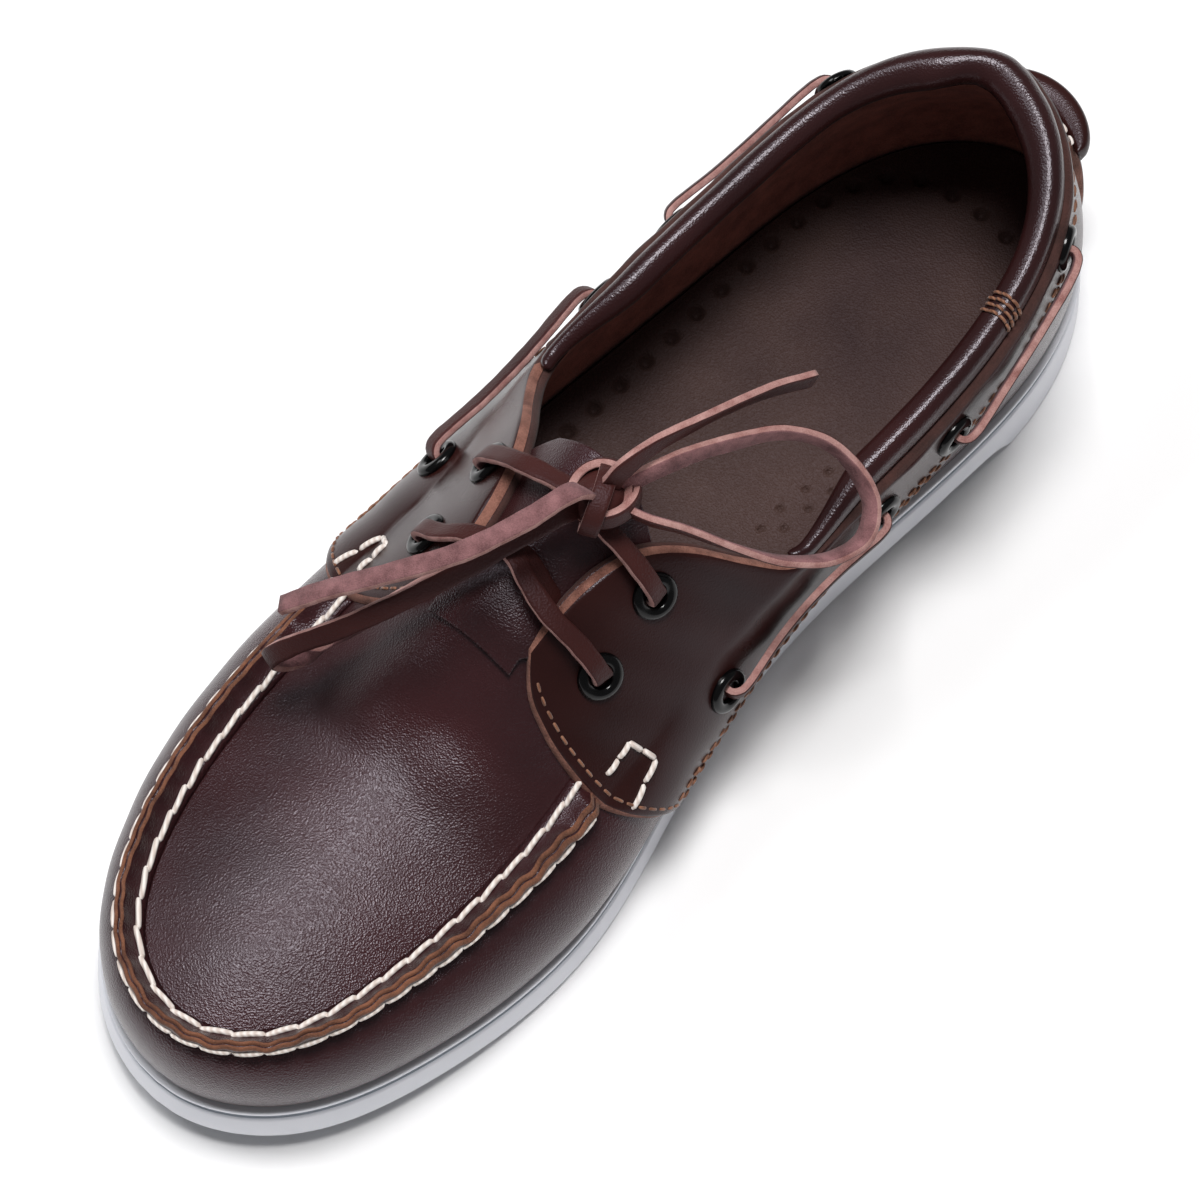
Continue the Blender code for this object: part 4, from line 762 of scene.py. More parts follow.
bed_t, bed_d = paired_columns(700)
bed_base = sole_top(bed_d / SOLE_LENGTH) + 0.0006
bed_margin = SOLE_LEDGE + LEATHER + 0.0003
BED_COLUMNS = 140
bed_edge = ring(bed_t, bed_margin + 0.0004, bed_base + 0.0028)
bed_side = np.stack([ring(bed_t, bed_margin, bed_base), ring(bed_t, bed_margin, bed_base + 0.0024), bed_edge])
bed_top = ladder(bed_edge, BED_COLUMNS)
span = np.linalg.norm(bed_top[:, -1] - bed_top[:, 0], axis=1)[:, None]
share = np.linspace(0.0, 1.0, BED_COLUMNS)[None]
bed_top[..., 2] -= 0.0007 * smooth(np.minimum(share, 1 - share) * span / 0.010)
# Places in mm: distance from the heel, and across, the inner side positive
DIMPLE_LINE = np.array([
    (150, -38), (120, -35), (97, -32.8), (73, -31), (57, -29.6), (41, -26.9), (33, -23.1), (27, -18),
    (24.5, -11), (23.5, -3), (23.5, 5), (25.5, 12.5), (31, 18.5), (38.5, 22.5), (47, 24),
]) * MM
AIR_HOLES = [(114.5, 12.2), (108.0, 12.4), (111.1, 16.1), (101.0, 13.8), (104.2, 17.3), (94.5, 15.0),
             (97.7, 18.6)]
DIMPLE_PITCH, DIMPLE_RADIUS, AIR_RADIUS, PIT_DEPTH = 0.0080, 0.0023, 0.0009, 0.0022
dimple_run = smooth_line(to_world(np.pad(DIMPLE_LINE, ((0, 0), (0, 1)))), 400)
dimples = along_line(dimple_run, np.arange(0.002, arc_length(dimple_run)[-1], DIMPLE_PITCH))[:, :2]
air_holes = [to_world(np.array([d, x, 0.0]) * MM)[:2] for d, x in AIR_HOLES]
bed_top[..., 2] -= (pits(bed_top, dimples, DIMPLE_RADIUS, PIT_DEPTH)
                    + pits(bed_top, air_holes, AIR_RADIUS, PIT_DEPTH))
bed_grids = [(bed_side, True, False, 0), (bed_top, False, False, 0)]
footbed = add_piece("footbed", bed_grids, [FOOTBED_LEATHER], merge=1e-6)
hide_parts("insole")
print("footbed faces:", len(footbed.data.polygons))

# %% [markdown]
# ## The upper
# One skin of leather, 2 mm thick: smooth outside, napped inside. The outside and the lining are
# grids over t and h, joined by a cut edge round the throat and a turned edge at the foot. Relief is
# added to the outside: pleats under the raised seam, creases where the foot bends, and the slow
# unevenness of a stretched hide.

# %% Relief of the outside
SEAM_PITCH = 0.0066
# Share of the length where the plug begins, ahead of the throat
PLUG_START = 0.650
CREASES = np.array([
    # d, x, direction in degrees, half length, width, depth, in mm
    (206, -12, -12, 13, 6.5, -1.3), (206, 9, 100, 12, 5.0, 0.45), (220, -3, 84, 18, 6.5, 0.30),
    (199, -29, 60, 8, 3.4, 0.45),
])


def creases(points):
    """Sum over the creases of a trough exp(-(across/width)^2) with a lower ridge beside it."""
    d, x = (CENTRE_D - points[..., 1]) / MM, (points[..., 0] + CENTRE_X) / MM
    relief = np.zeros(d.shape)
    for place_d, place_x, angle, reach, width, depth in CREASES:
        c, s = math.cos(math.radians(angle)), math.sin(math.radians(angle))
        along = (d - place_d) * c + (x - place_x) * s
        across = -(d - place_d) * s + (x - place_x) * c
        across = across + 0.9 * np.sin(along * 0.35 + place_x)
        window = np.exp(-(along / reach) ** 4)
        relief += window * depth * (0.55 * np.exp(-((across - 1.9 * width) / width) ** 2)
                                    + 0.45 * np.exp(-((across + 1.9 * width) / width) ** 2)
                                    - np.exp(-(across / width) ** 2))
    return relief * MM


def upper_relief(t, h, points):
    """Pleats under the seam, creases on the plug and a slow unevenness."""
    share = share_of(t)
    front = smooth((share - PLUG_START) / 0.02)
    pleat = 0.5 + 0.5 * np.cos(2 * math.pi * t * GIRTH / SEAM_PITCH)
    below = np.where(h <= 1.0, np.exp(-((1.0 - h) / 0.11) ** 2), np.exp(-((h - 1.0) / 0.05) ** 2))
    relief = -0.00028 * front * pleat * below
    plug = smooth((h - 1.16) / 0.15) * smooth((share - PLUG_START - 0.001) / 0.040)
    relief = relief + creases(points) * plug
    slow = (np.sin(points[..., 0] * 190 + 1.0) * np.sin(points[..., 1] * 140 + 0.4)
            + 0.6 * np.sin(points[..., 0] * 330 - points[..., 1] * 260))
    return relief + 0.00008 * slow * smooth((share - PLUG_START - 0.001) / 0.05) * smooth(h / 0.2)


# %% Upper
upper_t, upper_d = paired_columns(380)
upper_share = upper_d / SOLE_LENGTH
opening = smooth((upper_share - 0.622) / 0.023)
upper_edge = throat_edge(np.minimum(upper_share, 0.635)) * (1 - opening) + 2.0 * opening
upper_edge = np.where(upper_share > 0.645, 2.0, upper_edge)
wall_h = np.linspace(0.0, 1.0, 31)[:, None] * np.ones_like(upper_t)
plug_h = 1.0 + np.linspace(0.0, 1.0, 35)[1:, None] * (upper_edge - 1.0)
upper_h = np.concatenate([wall_h, plug_h])
skin = leather(upper_t, upper_h)
skin_normal = leather_normal(upper_t, upper_h)
flat_ridge = smooth((upper_h - 1.85) / 0.15)[..., None] * (upper_share > 0.62)[:, None]
skin_normal = unit(skin_normal * (1 - flat_ridge) + np.array([0.0, 0.0, 1.0]) * flat_ridge)
outside = skin + skin_normal * upper_relief(upper_t, upper_h, skin)[..., None]
lining = (skin - skin_normal * LEATHER)[::2]
# Columns of the open throat and collar, from the outer side round the heel to the inner side
open_columns = np.where(upper_share <= 0.646)[0]
outer_columns = open_columns > len(upper_t) // 2
open_columns = np.concatenate([open_columns[outer_columns], open_columns[~outer_columns]])
middle = (outside[-1] + lining[-1]) / 2 + unit(skin[-1] - skin[-2]) * 0.0005
rim = np.stack([outside[-1], (outside[-1] + middle * 2) / 3, (lining[-1] + middle * 2) / 3, lining[-1]])
foot = np.stack([outside[0], lining[0]])
upper_grids = [(outside, True, False, 0), (lining, True, False, 1), (rim[:, open_columns], False, False, 2),
               (foot, True, False, 1)]
upper = add_piece("leather_upper", upper_grids, [UPPER_LEATHER, SUEDE, DARK_EDGE], merge=1e-6, tidy=True)
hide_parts("upper")
print("upper faces:", len(upper.data.polygons))

# %% [markdown]
# ## Stitches
# A stitch is a short thread that comes up out of the leather, lies on it and goes down again. One
# small capsule of 48 faces is placed at every stitch by array arithmetic.


# %% Stitch maker
STITCH_ALONG = np.array([-1.0, -0.97, -0.80, -0.40, 0.0, 0.40, 0.80, 0.97, 1.0])
STITCH_SIZE = np.array([0.0, 0.62, 0.95, 1.0, 1.0, 1.0, 0.95, 0.62, 0.0])
STITCH_RISE = np.array([-1.0, -0.75, -0.05, 0.32, 0.42, 0.32, -0.05, -0.75, -1.0])
# Pitch, length and diameter of the fine rows
SADDLE_STITCH = (0.0033, 0.0025, 0.0007)
KICKER_STITCH = (0.0034, 0.0025, 0.0008)
TACK_STITCH = (0.0026, 0.0024, 0.0008)


def add_stitches(name, path, normals, sizes, thread, seed, lean=0.0, start=0.5):
    """Stitches along a path: capsule = along * tangent + circle of the diameter, arched by the rise.

    lean turns each stitch by that many radians, and start is the first one's place in pitches."""
    pitch, length, diameter = sizes
    run = arc_length(path)
    count = max(int((run[-1] - start * pitch) // pitch) + 1, 1)
    noise = np.random.RandomState(seed)
    centre_run = start * pitch + np.arange(count) * pitch + noise.uniform(-0.04, 0.04, count) * pitch
    centre = along_line(path, centre_run)
    half = length / 2 * (1 + noise.uniform(-0.06, 0.06, count))
    tangent = unit(along_line(path, centre_run + half) - along_line(path, centre_run - half))
    normal = unit(spread(centre_run, run, normals))
    side = unit(np.cross(normal, tangent))
    turned = lean + noise.uniform(-0.05, 0.05, count)
    direction = tangent * np.cos(turned)[:, None] + side * np.sin(turned)[:, None]
    side = unit(np.cross(normal, direction))
    normal = np.cross(direction, side)
    angle = np.arange(6) * math.pi / 3
    ring_side, ring_up = np.cos(angle) * diameter / 2, np.sin(angle) * diameter / 2
    far = (STITCH_ALONG[None, :, None] * half[:, None, None])[..., None]
    wide = (STITCH_SIZE[:, None] * ring_side)[None, ..., None]
    high = (STITCH_SIZE[:, None] * ring_up + STITCH_RISE[:, None] * diameter * 0.5)[None, ..., None]
    points = (centre[:, None, None] + direction[:, None, None] * far + side[:, None, None] * wide
              + normal[:, None, None] * high)
    rows, corners = len(STITCH_ALONG), 6
    r, c = np.meshgrid(np.arange(rows - 1), np.arange(corners), indexing="ij")
    quads = np.stack([r * corners + c, r * corners + (c + 1) % corners, (r + 1) * corners + (c + 1) % corners,
                      (r + 1) * corners + c], axis=-1).reshape(-1, 4)
    faces = (quads[None] + (np.arange(count) * rows * corners)[:, None, None]).reshape(-1, 4)
    piece = mesh_piece(name, points.reshape(-1, 3), faces, np.zeros(len(faces)), [thread], 1e-6, True)
    print("%s: %d stitches" % (name, count))


# %% [markdown]
# ## The moccasin seam
# Wall and plug are stitched together edge to edge, so both cut edges stand up side by side. The
# stitching pulls them in at each stitch, which makes them wavy. The section has two cut edges, a
# dark channel between them and a slope down to the plug.

# %% Seam sweep
SEAM_PROFILE = np.array([
    # share of the width inward, share of the height, wave of the height, finish of the band to the next row
    (0.00, 0.02, 0.00, 0), (-0.02, 0.26, 0.00, 0), (-0.01, 0.52, 0.03, 0), (0.01, 0.76, 0.08, 0),
    (0.03, 0.90, 0.12, 1), (0.08, 1.00, 0.14, 1), (0.15, 1.02, 0.14, 1), (0.20, 0.98, 0.12, 0),
    (0.22, 0.90, 0.05, 0), (0.25, 0.91, 0.05, 1), (0.29, 1.00, 0.10, 1), (0.36, 1.02, 0.10, 1),
    (0.41, 0.96, 0.08, 0), (0.47, 0.80, 0.05, 0), (0.56, 0.56, 0.02, 0), (0.68, 0.34, 0.00, 0),
    (0.84, 0.15, 0.00, 0), (1.02, 0.01, 0.00, 0), (0.80, -0.06, 0.0, 0), (0.20, -0.06, 0.0, 0),
])
SEAM_HEIGHT = 0.0058
SEAM_START = 0.6575
SEAM_ROWS = 620
seam_ends = [float(at_side(side, SEAM_START * SOLE_LENGTH)) for side in ("inner", "outer")]
seam_t = np.linspace(*seam_ends, SEAM_ROWS)
seam_foot, seam_top = raised(seam_t, 1.0, 0.0002), raised(seam_t, 1.19, 0.0002)
seam_across = seam_top - seam_foot
seam_along = np.gradient(seam_foot, axis=0)
seam_up = unit(np.cross(seam_across, seam_along))
seam_up = unit(seam_up * np.sign(seam_up[:, 2:]) + [0.0, 0.0, 1.0])
seam_row = np.arange(SEAM_ROWS)
fade = smooth(np.minimum(seam_row, seam_row[::-1]) / 9.0)[:, None]
run = seam_t * GIRTH
wave = np.cos(2 * math.pi * seam_t * GIRTH / SEAM_PITCH)
slow_wave = np.sin(2 * math.pi * seam_t * GIRTH / 0.0173 + 0.7)
ragged = np.sin(run / 0.0023 + 3 * np.sin(run / 0.013)) + np.sin(run / 0.0051)
across, height, swing = SEAM_PROFILE.T[:3, None]
heights = height + swing * (0.4 * wave + 0.35 * slow_wave + 0.2 * ragged)[:, None]
lean = across + 0.035 * smooth(height * 1.6 - 0.6) * (wave + 0.8 * slow_wave + 0.4 * ragged)[:, None]
seam_grid = (seam_foot[:, None] + seam_across[:, None] * lean[..., None]
             + seam_up[:, None] * (heights * SEAM_HEIGHT * (0.25 + 0.75 * fade))[..., None])
seam_caps = [seam_grid[:1].mean(axis=1, keepdims=True) + np.zeros_like(seam_grid[:1]),
             seam_grid[-1:].mean(axis=1, keepdims=True) + np.zeros_like(seam_grid[:1])]
seam_all = np.concatenate([seam_caps[0], seam_grid, seam_caps[1]])
seam = add_piece("moccasin_seam", [(seam_all, True, False, SEAM_PROFILE[None, :, 3].astype(int))],
                 [UPPER_LEATHER, SEAM_EDGE], merge=1e-6, tidy=True)
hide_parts("moc_seam")


def seam_line(across, high, lift=0.0):
    """A line along the seam at one place of its section."""
    return seam_foot + seam_across * across + seam_up * (high * SEAM_HEIGHT + lift)


slope_normal = unit(seam_up + unit(seam_across) * 0.6)
wall_normal = unit(seam_up * 0.25 - unit(seam_across))
add_stitches("seam_stitches_plug", seam_line(0.80, 0.20, 0.0002), slope_normal, (SEAM_PITCH, 0.0077, 0.0013),
             WHITE_THREAD, seed=2, lean=0.10)
add_stitches("seam_stitches_wall", seam_line(-0.01, 0.66, 0.0000), wall_normal, (SEAM_PITCH, 0.0070, 0.0010),
             WHITE_THREAD, seed=3, lean=0.08, start=1.0)

# %% [markdown]
# ## Overlays
# The saddle and the heel strap are second layers of leather sewn on the upper. Each is a grid over
# the same t and h with a cut edge round it: the lift rises over the first two millimetres from the
# border, and the outermost faces are the cut edge. It is tan, but stained dark where the saddle's
# top edge runs beside the collar roll.

# %% Overlay maker
# Distance from the border and lift, in mm
EDGE_PROFILE = np.array([(0.0, 0.0), (0.30, 1.30), (1.00, 1.96), (1.35, 2.15), (1.90, 2.24)]) * MM
SADDLE_LENGTH = 0.205
# Share of the length where the collar roll gives way to the throat's bare edge
COLLAR_FRONT = 0.442
T_GRID = np.linspace(-0.01, 1.01, 1201)
LOWER_H = level(T_GRID, saddle_lower(share_of(T_GRID)) * COLLAR_HEIGHT)


def lower_h(t):
    """h of a saddle's lower edge at t."""
    return np.interp(np.mod(t + 0.005, 1.0) - 0.005, T_GRID, LOWER_H)


def border_shares(length, count, near, far):
    """Shares across a piece: the edge profile's distances at the chosen borders, even steps between."""
    steps = EDGE_PROFILE[:, 0]
    first = steps if near else steps[:1]
    last = (length - steps)[::-1] if far else np.array([length])
    inner = np.linspace(first[-1], last[0], count)[1:-1]
    return np.concatenate([first, inner, last]) / length


def add_overlay(name, place, length, counts, borders):
    """Overlay from place(u, v) giving t and h; borders are u start, u end, v start, v end.

    lift = the smaller of the edge profile along u and the one along v, plus the relief inside."""
    u = border_shares(length, counts[0], *borders[:2])
    fine_v = np.linspace(0.0, 1.0, 24)[:, None]
    tall = leather(*place(u[None] * np.ones_like(fine_v), fine_v * np.ones_like(u)[None]))
    height = np.linalg.norm(np.diff(tall, axis=0), axis=-1).sum(axis=0)
    v = np.stack([border_shares(max(value, 0.004), counts[1], *borders[2:]) for value in height], axis=1)
    u_all = np.broadcast_to(u[None], v.shape)
    t, h = place(u_all, v)
    rise = EDGE_PROFILE[:, 1]

    def lifts(count, near, far):
        line = np.full(count, rise[-1])
        if near:
            line[:len(rise)] = rise
        if far:
            line[-len(rise):] = rise[::-1]
        return line

    lift = np.minimum(lifts(v.shape[0], *borders[2:])[:, None], lifts(v.shape[1], *borders[:2])[None])
    points = leather(t, h)
    lift = lift + slow_relief(points) * (lift > 0.0020)
    grid = points + leather_normal(t, h) * (lift + 0.0001)[..., None]
    finish = np.zeros((v.shape[0] - 1, v.shape[1] - 1), int)
    if borders[2]:
        finish[:2] = 1
    if borders[3]:
        finish[-2:] = np.where(share_of(t[-1, :-1]) > COLLAR_FRONT, 1, 2)
    if borders[0]:
        finish[:, :2] = 1
    if borders[1]:
        finish[:, -2:] = 1
    return add_piece(name, [(grid, False, False, finish)], [SADDLE_LEATHER, RAW_EDGE, DARK_EDGE])


def slow_relief(points):
    """A slow unevenness of the saddle leather, about 0.15 mm."""
    return 0.00012 * (np.sin(points[..., 1] * 210 + 0.6) * np.sin(points[..., 2] * 190)
                      + 0.7 * np.sin(points[..., 1] * 420 + points[..., 2] * 330))


# %% Saddles
def saddle_place(side):
    """The function (u, v) to (t, h) of a saddle: u from front to heel, v from lower to upper edge."""
    gap = 0.00015 / GIRTH
    end = HEEL_T + gap if side == "inner" else HEEL_T + 1.0 - gap

    def place(u, v):
        front = at_side(side, saddle_front(v) * SOLE_LENGTH)
        t = front + (end - front) * u
        low, high = lower_h(t), throat_edge(share_of(t)) - 0.002
        return t, low + (high - low) * v

    return place


SADDLES = {side: saddle_place(side) for side in ("inner", "outer")}
for side, place in SADDLES.items():
    saddle = add_overlay("saddle_leather_" + side, place, SADDLE_LENGTH, (230, 40), (True, False, True, True))
    if side == "inner":
        saddle.data.flip_normals()
    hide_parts("saddle_" + side)
    print("saddle", side, "faces:", len(saddle.data.polygons))

# %% [markdown]
# The heel strap covers the back seam. Across it runs a kicker, a pinched ridge of leather that the
# other foot pushes against to take the shoe off.

# %% Heel strap and kicker
STRAP = [(0.00, 0.190), (0.25, 0.160), (0.50, 0.150), (0.72, 0.172), (0.88, 0.215), (1.00, 0.290)]
strap_half = table_curve(STRAP)


def strap_place(u, v):
    """(u, v) to (t, h) of the strap: v from the sole up to the saddles' lower edge, u across."""
    t = HEEL_T + strap_half(v) * BALL_WIDTH / GIRTH * (2 * u - 1)
    return t, 0.02 + (lower_h(t) - 0.026) * v


strap = add_overlay("heel_strap_leather", strap_place, 0.036, (40, 44), (True, True, False, True))
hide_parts("heel_strap")

KICKER_HALF = 0.017
KICKER_HEIGHT = 0.545 * COLLAR_HEIGHT
kick_u = np.linspace(-1.0, 1.0, 81)
kick_angle = np.linspace(-math.pi / 2, math.pi / 2, 17)
kick_up = np.sign(np.sin(kick_angle)) * np.abs(np.sin(kick_angle)) ** 0.9 * 0.0021
kick_out = np.abs(np.cos(kick_angle)) ** 0.62
kick_t = HEEL_T + kick_u * KICKER_HALF / GIRTH
kick_reach = 0.0008 + 0.0057 * np.sqrt(np.maximum(1 - kick_u ** 2, 0.0))
kick_h = level(kick_t[:, None], KICKER_HEIGHT + kick_up[None])
kick_lift = 0.0021 + kick_out[None] * kick_reach[:, None]
kick_grid = raised(kick_t[:, None], kick_h, kick_lift)
kick_end = np.repeat(kick_grid[[0, -1]].mean(axis=1, keepdims=True), len(kick_angle), axis=1)
kick_all = np.concatenate([kick_end[:1], kick_grid, kick_end[1:]])
kicker = add_piece("kicker_ridge", [(kick_all, True, False, 0)], [SADDLE_LEATHER], merge=1e-6, tidy=True)
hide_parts("kicker_tab")
for label, offset in (("above", 0.0044), ("below", -0.0044)):
    line_t = HEEL_T + np.linspace(-0.9, 0.9, 40) * KICKER_HALF / GIRTH
    line_h = level(line_t, KICKER_HEIGHT + offset)
    add_stitches("kicker_stitches_" + label, raised(line_t, line_h, 0.0024), leather_normal(line_t, line_h),
                 KICKER_STITCH, WHITE_THREAD, seed=5)

# %% [markdown]
# ## Padded collar
# A strip of soft leather is rolled over foam on the top line. It is thickest at the heel and thins
# towards the throat, and the leather gathers in short fine wrinkles across the roll.

# %% Collar roll
ROLL_SECTION = np.array([
    # share of the width inward, share of the height
    (0.06, 0.02), (0.02, 0.36), (0.10, 0.72), (0.38, 1.00), (0.70, 0.92), (0.96, 0.58), (0.96, 0.16),
    (0.64, 0.00),
])
ROLL_WIDTH = 0.0094
ROLL_HEIGHT = 0.0070
ROLL_FRONT = 0.447
ROLL_ROWS = 520
roll_section = closed_curve(np.arange(9) / 8.0, ROLL_SECTION)
roll_w = np.linspace(0.0, 1.0, 41)[:-1]


def roll_size(share):
    """Size of the roll's section: full at the heel, slimmer along the sides, thinnest at the throat."""
    return (1.0 - 0.26 * smooth((share - 0.05) / 0.13)) * (0.50 + 0.50 * smooth((0.440 - share) / 0.085))


roll_ends = [float(at_side(side, ROLL_FRONT * SOLE_LENGTH)) for side in ("outer", "inner")]
roll_t = np.linspace(roll_ends[0] - 1.0, roll_ends[1], ROLL_ROWS)
roll_seat = leather(roll_t, throat_edge(share_of(roll_t)))
roll_in = unit((leather(roll_t, 1.2) - leather(roll_t, 1.0)) * [1.0, 1.0, 0.0])
taper = roll_size(share_of(roll_t))
roll_seat = roll_seat - roll_in * (0.0016 * smooth((share_of(roll_t) - 0.36) / 0.08))[:, None]
roll_row = np.arange(ROLL_ROWS)
ends = np.minimum(roll_row, roll_row[::-1])
closing = np.sqrt(np.clip(1 - ((4.0 - ends) / 4.0).clip(0.0) ** 2, 0.0, 1.0))
section = roll_section(roll_w)
middle = np.array([0.50, 0.50])
run = roll_t * GIRTH
wrinkle = (np.sin(run / 0.0021 + 2.2 * np.sin(run / 0.031)) * 0.5 + np.sin(run / 0.0047 + 1.0) * 0.6)
round_roll = 0.3 + 0.7 * np.sin(2 * math.pi * (roll_w + 0.06))[None] ** 2
where = (0.45 + 0.55 * np.sin(run / 0.019 + 0.5))[:, None] * round_roll
size = (1.0 + 0.020 * wrinkle[:, None] * where) * closing[:, None]
shape = middle + (section[None] - middle) * size[..., None]
roll_grid = (roll_seat[:, None] + roll_in[:, None] * (shape[..., :1] * ROLL_WIDTH * taper[:, None, None])
             + UP * (0.0002 + shape[..., 1:] * ROLL_HEIGHT * taper[:, None, None]))
roll = add_piece("collar_padding", [(roll_grid, True, False, 0)], [ROLL_LEATHER], merge=1e-6, tidy=True)
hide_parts("collar_roll")
print("roll faces:", len(roll.data.polygons))

# %% [markdown]
# Four short rows of tan thread close together, a bar tack, hold the roll down on the inner side,
# where the foot pulls hardest. They follow the roll's own section.

# %% Bar tack over the collar roll
TACK_D = 0.064
tack_w = np.linspace(0.11, 0.60, 60)
for number, shift in enumerate((-0.0021, -0.0006, 0.0009, 0.0024)):
    t = float(at_side("inner", TACK_D + shift))
    seat = leather(t, 1.0)
    inward = unit((leather(t, 1.2) - seat) * [1.0, 1.0, 0.0])
    place = roll_section(tack_w) * roll_size(float(share_of(t)))
    line = seat + inward * place[:, :1] * ROLL_WIDTH + UP * (0.0003 + place[:, 1:] * ROLL_HEIGHT)
    away = unit(line - (seat + inward * 0.0035 + [0.0, 0.0, 0.0026]))
    add_stitches("collar_tack_%d" % number, line + away * 0.0002, away, TACK_STITCH, TAN_THREAD,
                 seed=30 + number, start=0.3 + 0.25 * (number % 2))

# %% [markdown]
# ## Tongue
# The tongue is thin unlined leather. It lies under the edges of the throat and its rear edge is cut
# in a curve below the knot.

# %% Tongue
tongue_along = np.linspace(0.515, 0.652, 90)
tongue_reach = (1.36 + 0.30 * np.clip((0.545 - tongue_along) / 0.03, 0.0, 1.0) ** 2
                + 0.36 * smooth((tongue_along - 0.612) / 0.03))
tongue_lift = (-0.0029 + 0.00294 * smooth((tongue_along - 0.600) / 0.040)
               - 0.00010 * smooth((tongue_along - 0.638) / 0.012))
across = np.linspace(0.0, 1.0, 40)
tongue_h = tongue_reach[:, None] + (2.0 - tongue_reach[:, None]) * across[None]
halves = []
for side in ("inner", "outer"):
    t = np.broadcast_to(at_side(side, tongue_along * SOLE_LENGTH)[:, None], tongue_h.shape)
    halves.append(raised(t, tongue_h, tongue_lift[:, None]))
ridge = (halves[0][:, -1:] + halves[1][:, -1:]) / 2
tongue_grid = np.concatenate([halves[0][:, :-1], ridge, halves[1][:, :-1][:, ::-1]], axis=1)
tongue = add_piece("tongue_leather", [(tongue_grid, False, False, 0)], [UPPER_LEATHER, DARK_EDGE])
thickness = tongue.modifiers.new("thickness", "SOLIDIFY")
thickness.thickness = 0.0014
thickness.offset = -1.0
thickness.material_offset_rim = 1
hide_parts("tongue")

# %% [markdown]
# ## Eyelets and the lace through them
# Twelve eyelets are punched through the leather. A lathe profile, from the barrel up over the rolled
# rim, is turned about the leather's normal. The lace comes up out of each hole and over the rim.

# %% Eyelets
EYELETS = {"throat_front": (0.607, 0.775), "throat_rear": (0.545, 0.872), "side_a_front": (0.532, 0.492),
           "side_a_rear": (0.366, 0.613), "side_b_front": (0.292, 0.686), "side_b_rear": (0.141, 0.874)}
EYELET_LIFT = 0.00305
RIM_PROFILE = np.array([
    # radius and height, in mm
    (2.30, -3.2), (2.30, -0.6), (2.36, -0.1), (2.60, 0.35), (3.05, 0.66), (3.60, 0.76), (4.20, 0.70),
    (4.75, 0.46), (5.10, 0.06), (5.24, -0.40), (5.22, -0.80),
]) * MM


def fitting(side, share, height):
    """t and h of a place on the saddle given as a share of the length and a height."""
    t = at_side(side, np.asarray(share) * SOLE_LENGTH)
    return t, level(t, np.asarray(height) * COLLAR_HEIGHT)


for side in ("inner", "outer"):
    for label, (share, height) in EYELETS.items():
        t, h = fitting(side, share, height)
        normal = leather_normal(t, h)
        place = leather(t, h) + normal * EYELET_LIFT
        first = unit(np.cross(normal, [0.0, 0.0, 1.0]))
        second = np.cross(normal, first)
        angle = np.linspace(0.0, 2 * math.pi, 41)[:-1]
        around = np.cos(angle)[:, None] * first + np.sin(angle)[:, None] * second
        grid = place + around[None] * RIM_PROFILE[:, :1, None] + normal * RIM_PROFILE[:, 1:, None]
        # A near-black disc down the barrel: painted shade in the hole
        floor = place + around[None] * np.array([0.0, 0.0023])[:, None, None] - normal * 0.0024
        eyelet_grids = [(grid, True, False, 0), (floor, True, False, 1)]
        eyelet = add_piece("eyelet_rim_%s_%s" % (side, label), eyelet_grids, [EYELET_LACQUER, PAINTED_HOLE_SHADE],
                           merge=1e-6)
        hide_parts("eyelet_%s_%s" % (side, label))

# %% Side runs of lace
BAR_PROFILE = np.array([
    # share of the way between two eyelets, lift above the leather in mm
    (0.000, 0.3), (0.000, 2.6), (0.006, 4.3), (0.028, 5.3), (0.075, 5.65), (0.14, 5.45), (0.30, 4.75),
    (0.50, 4.45), (0.70, 4.75), (0.86, 5.45), (0.925, 5.65), (0.972, 5.3), (0.994, 4.3), (1.000, 2.6),
    (1.000, 0.3),
]) * [1.0, MM]
for side in ("inner", "outer"):
    for letter in ("a", "b"):
        first, second = (np.array(EYELETS["side_%s_%s" % (letter, end)]) for end in ("front", "rear"))
        between = first + (second - first) * BAR_PROFILE[:, :1]
        t, h = fitting(side, between[:, 0], between[:, 1])
        normal = leather_normal(t, h)
        line = smooth_line(leather(t, h) + normal * BAR_PROFILE[:, 1:], 90)
        heading = unit(line[-1] - line[0])
        width = unit(np.cross(normal.mean(axis=0), heading))
        grid = ribbon(line, width + 0.35 * normal.mean(axis=0), seed=4)
        bar = add_lace("lace_side_%s_%s" % (letter, side), [grid])
        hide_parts("lace_bar_%s_%s" % (letter, side))


# %% Throat runs of lace
def over_ridge(near, rows):
    """Places above the leather and normals, from rows of share, h and lift in mm.

    h past 2 is over the ridge on the far side, where it counts back from 4."""
    rows = np.array(rows, float)
    far = "outer" if near == "inner" else "inner"
    on_near = rows[:, 1] <= 2.0
    d = rows[:, 0] * SOLE_LENGTH
    t = np.where(on_near, at_side(near, d), at_side(far, d))
    h = np.where(on_near, rows[:, 1], 4.0 - rows[:, 1])
    blend = np.minimum(np.abs(rows[:, 1] - 2.0) / 0.25, 1.0)[:, None]
    normal = unit(leather_normal(t, np.minimum(h, 1.95)) * blend + UP * (1 - blend))
    return leather(t, h) + normal * rows[:, 2:] * MM, normal


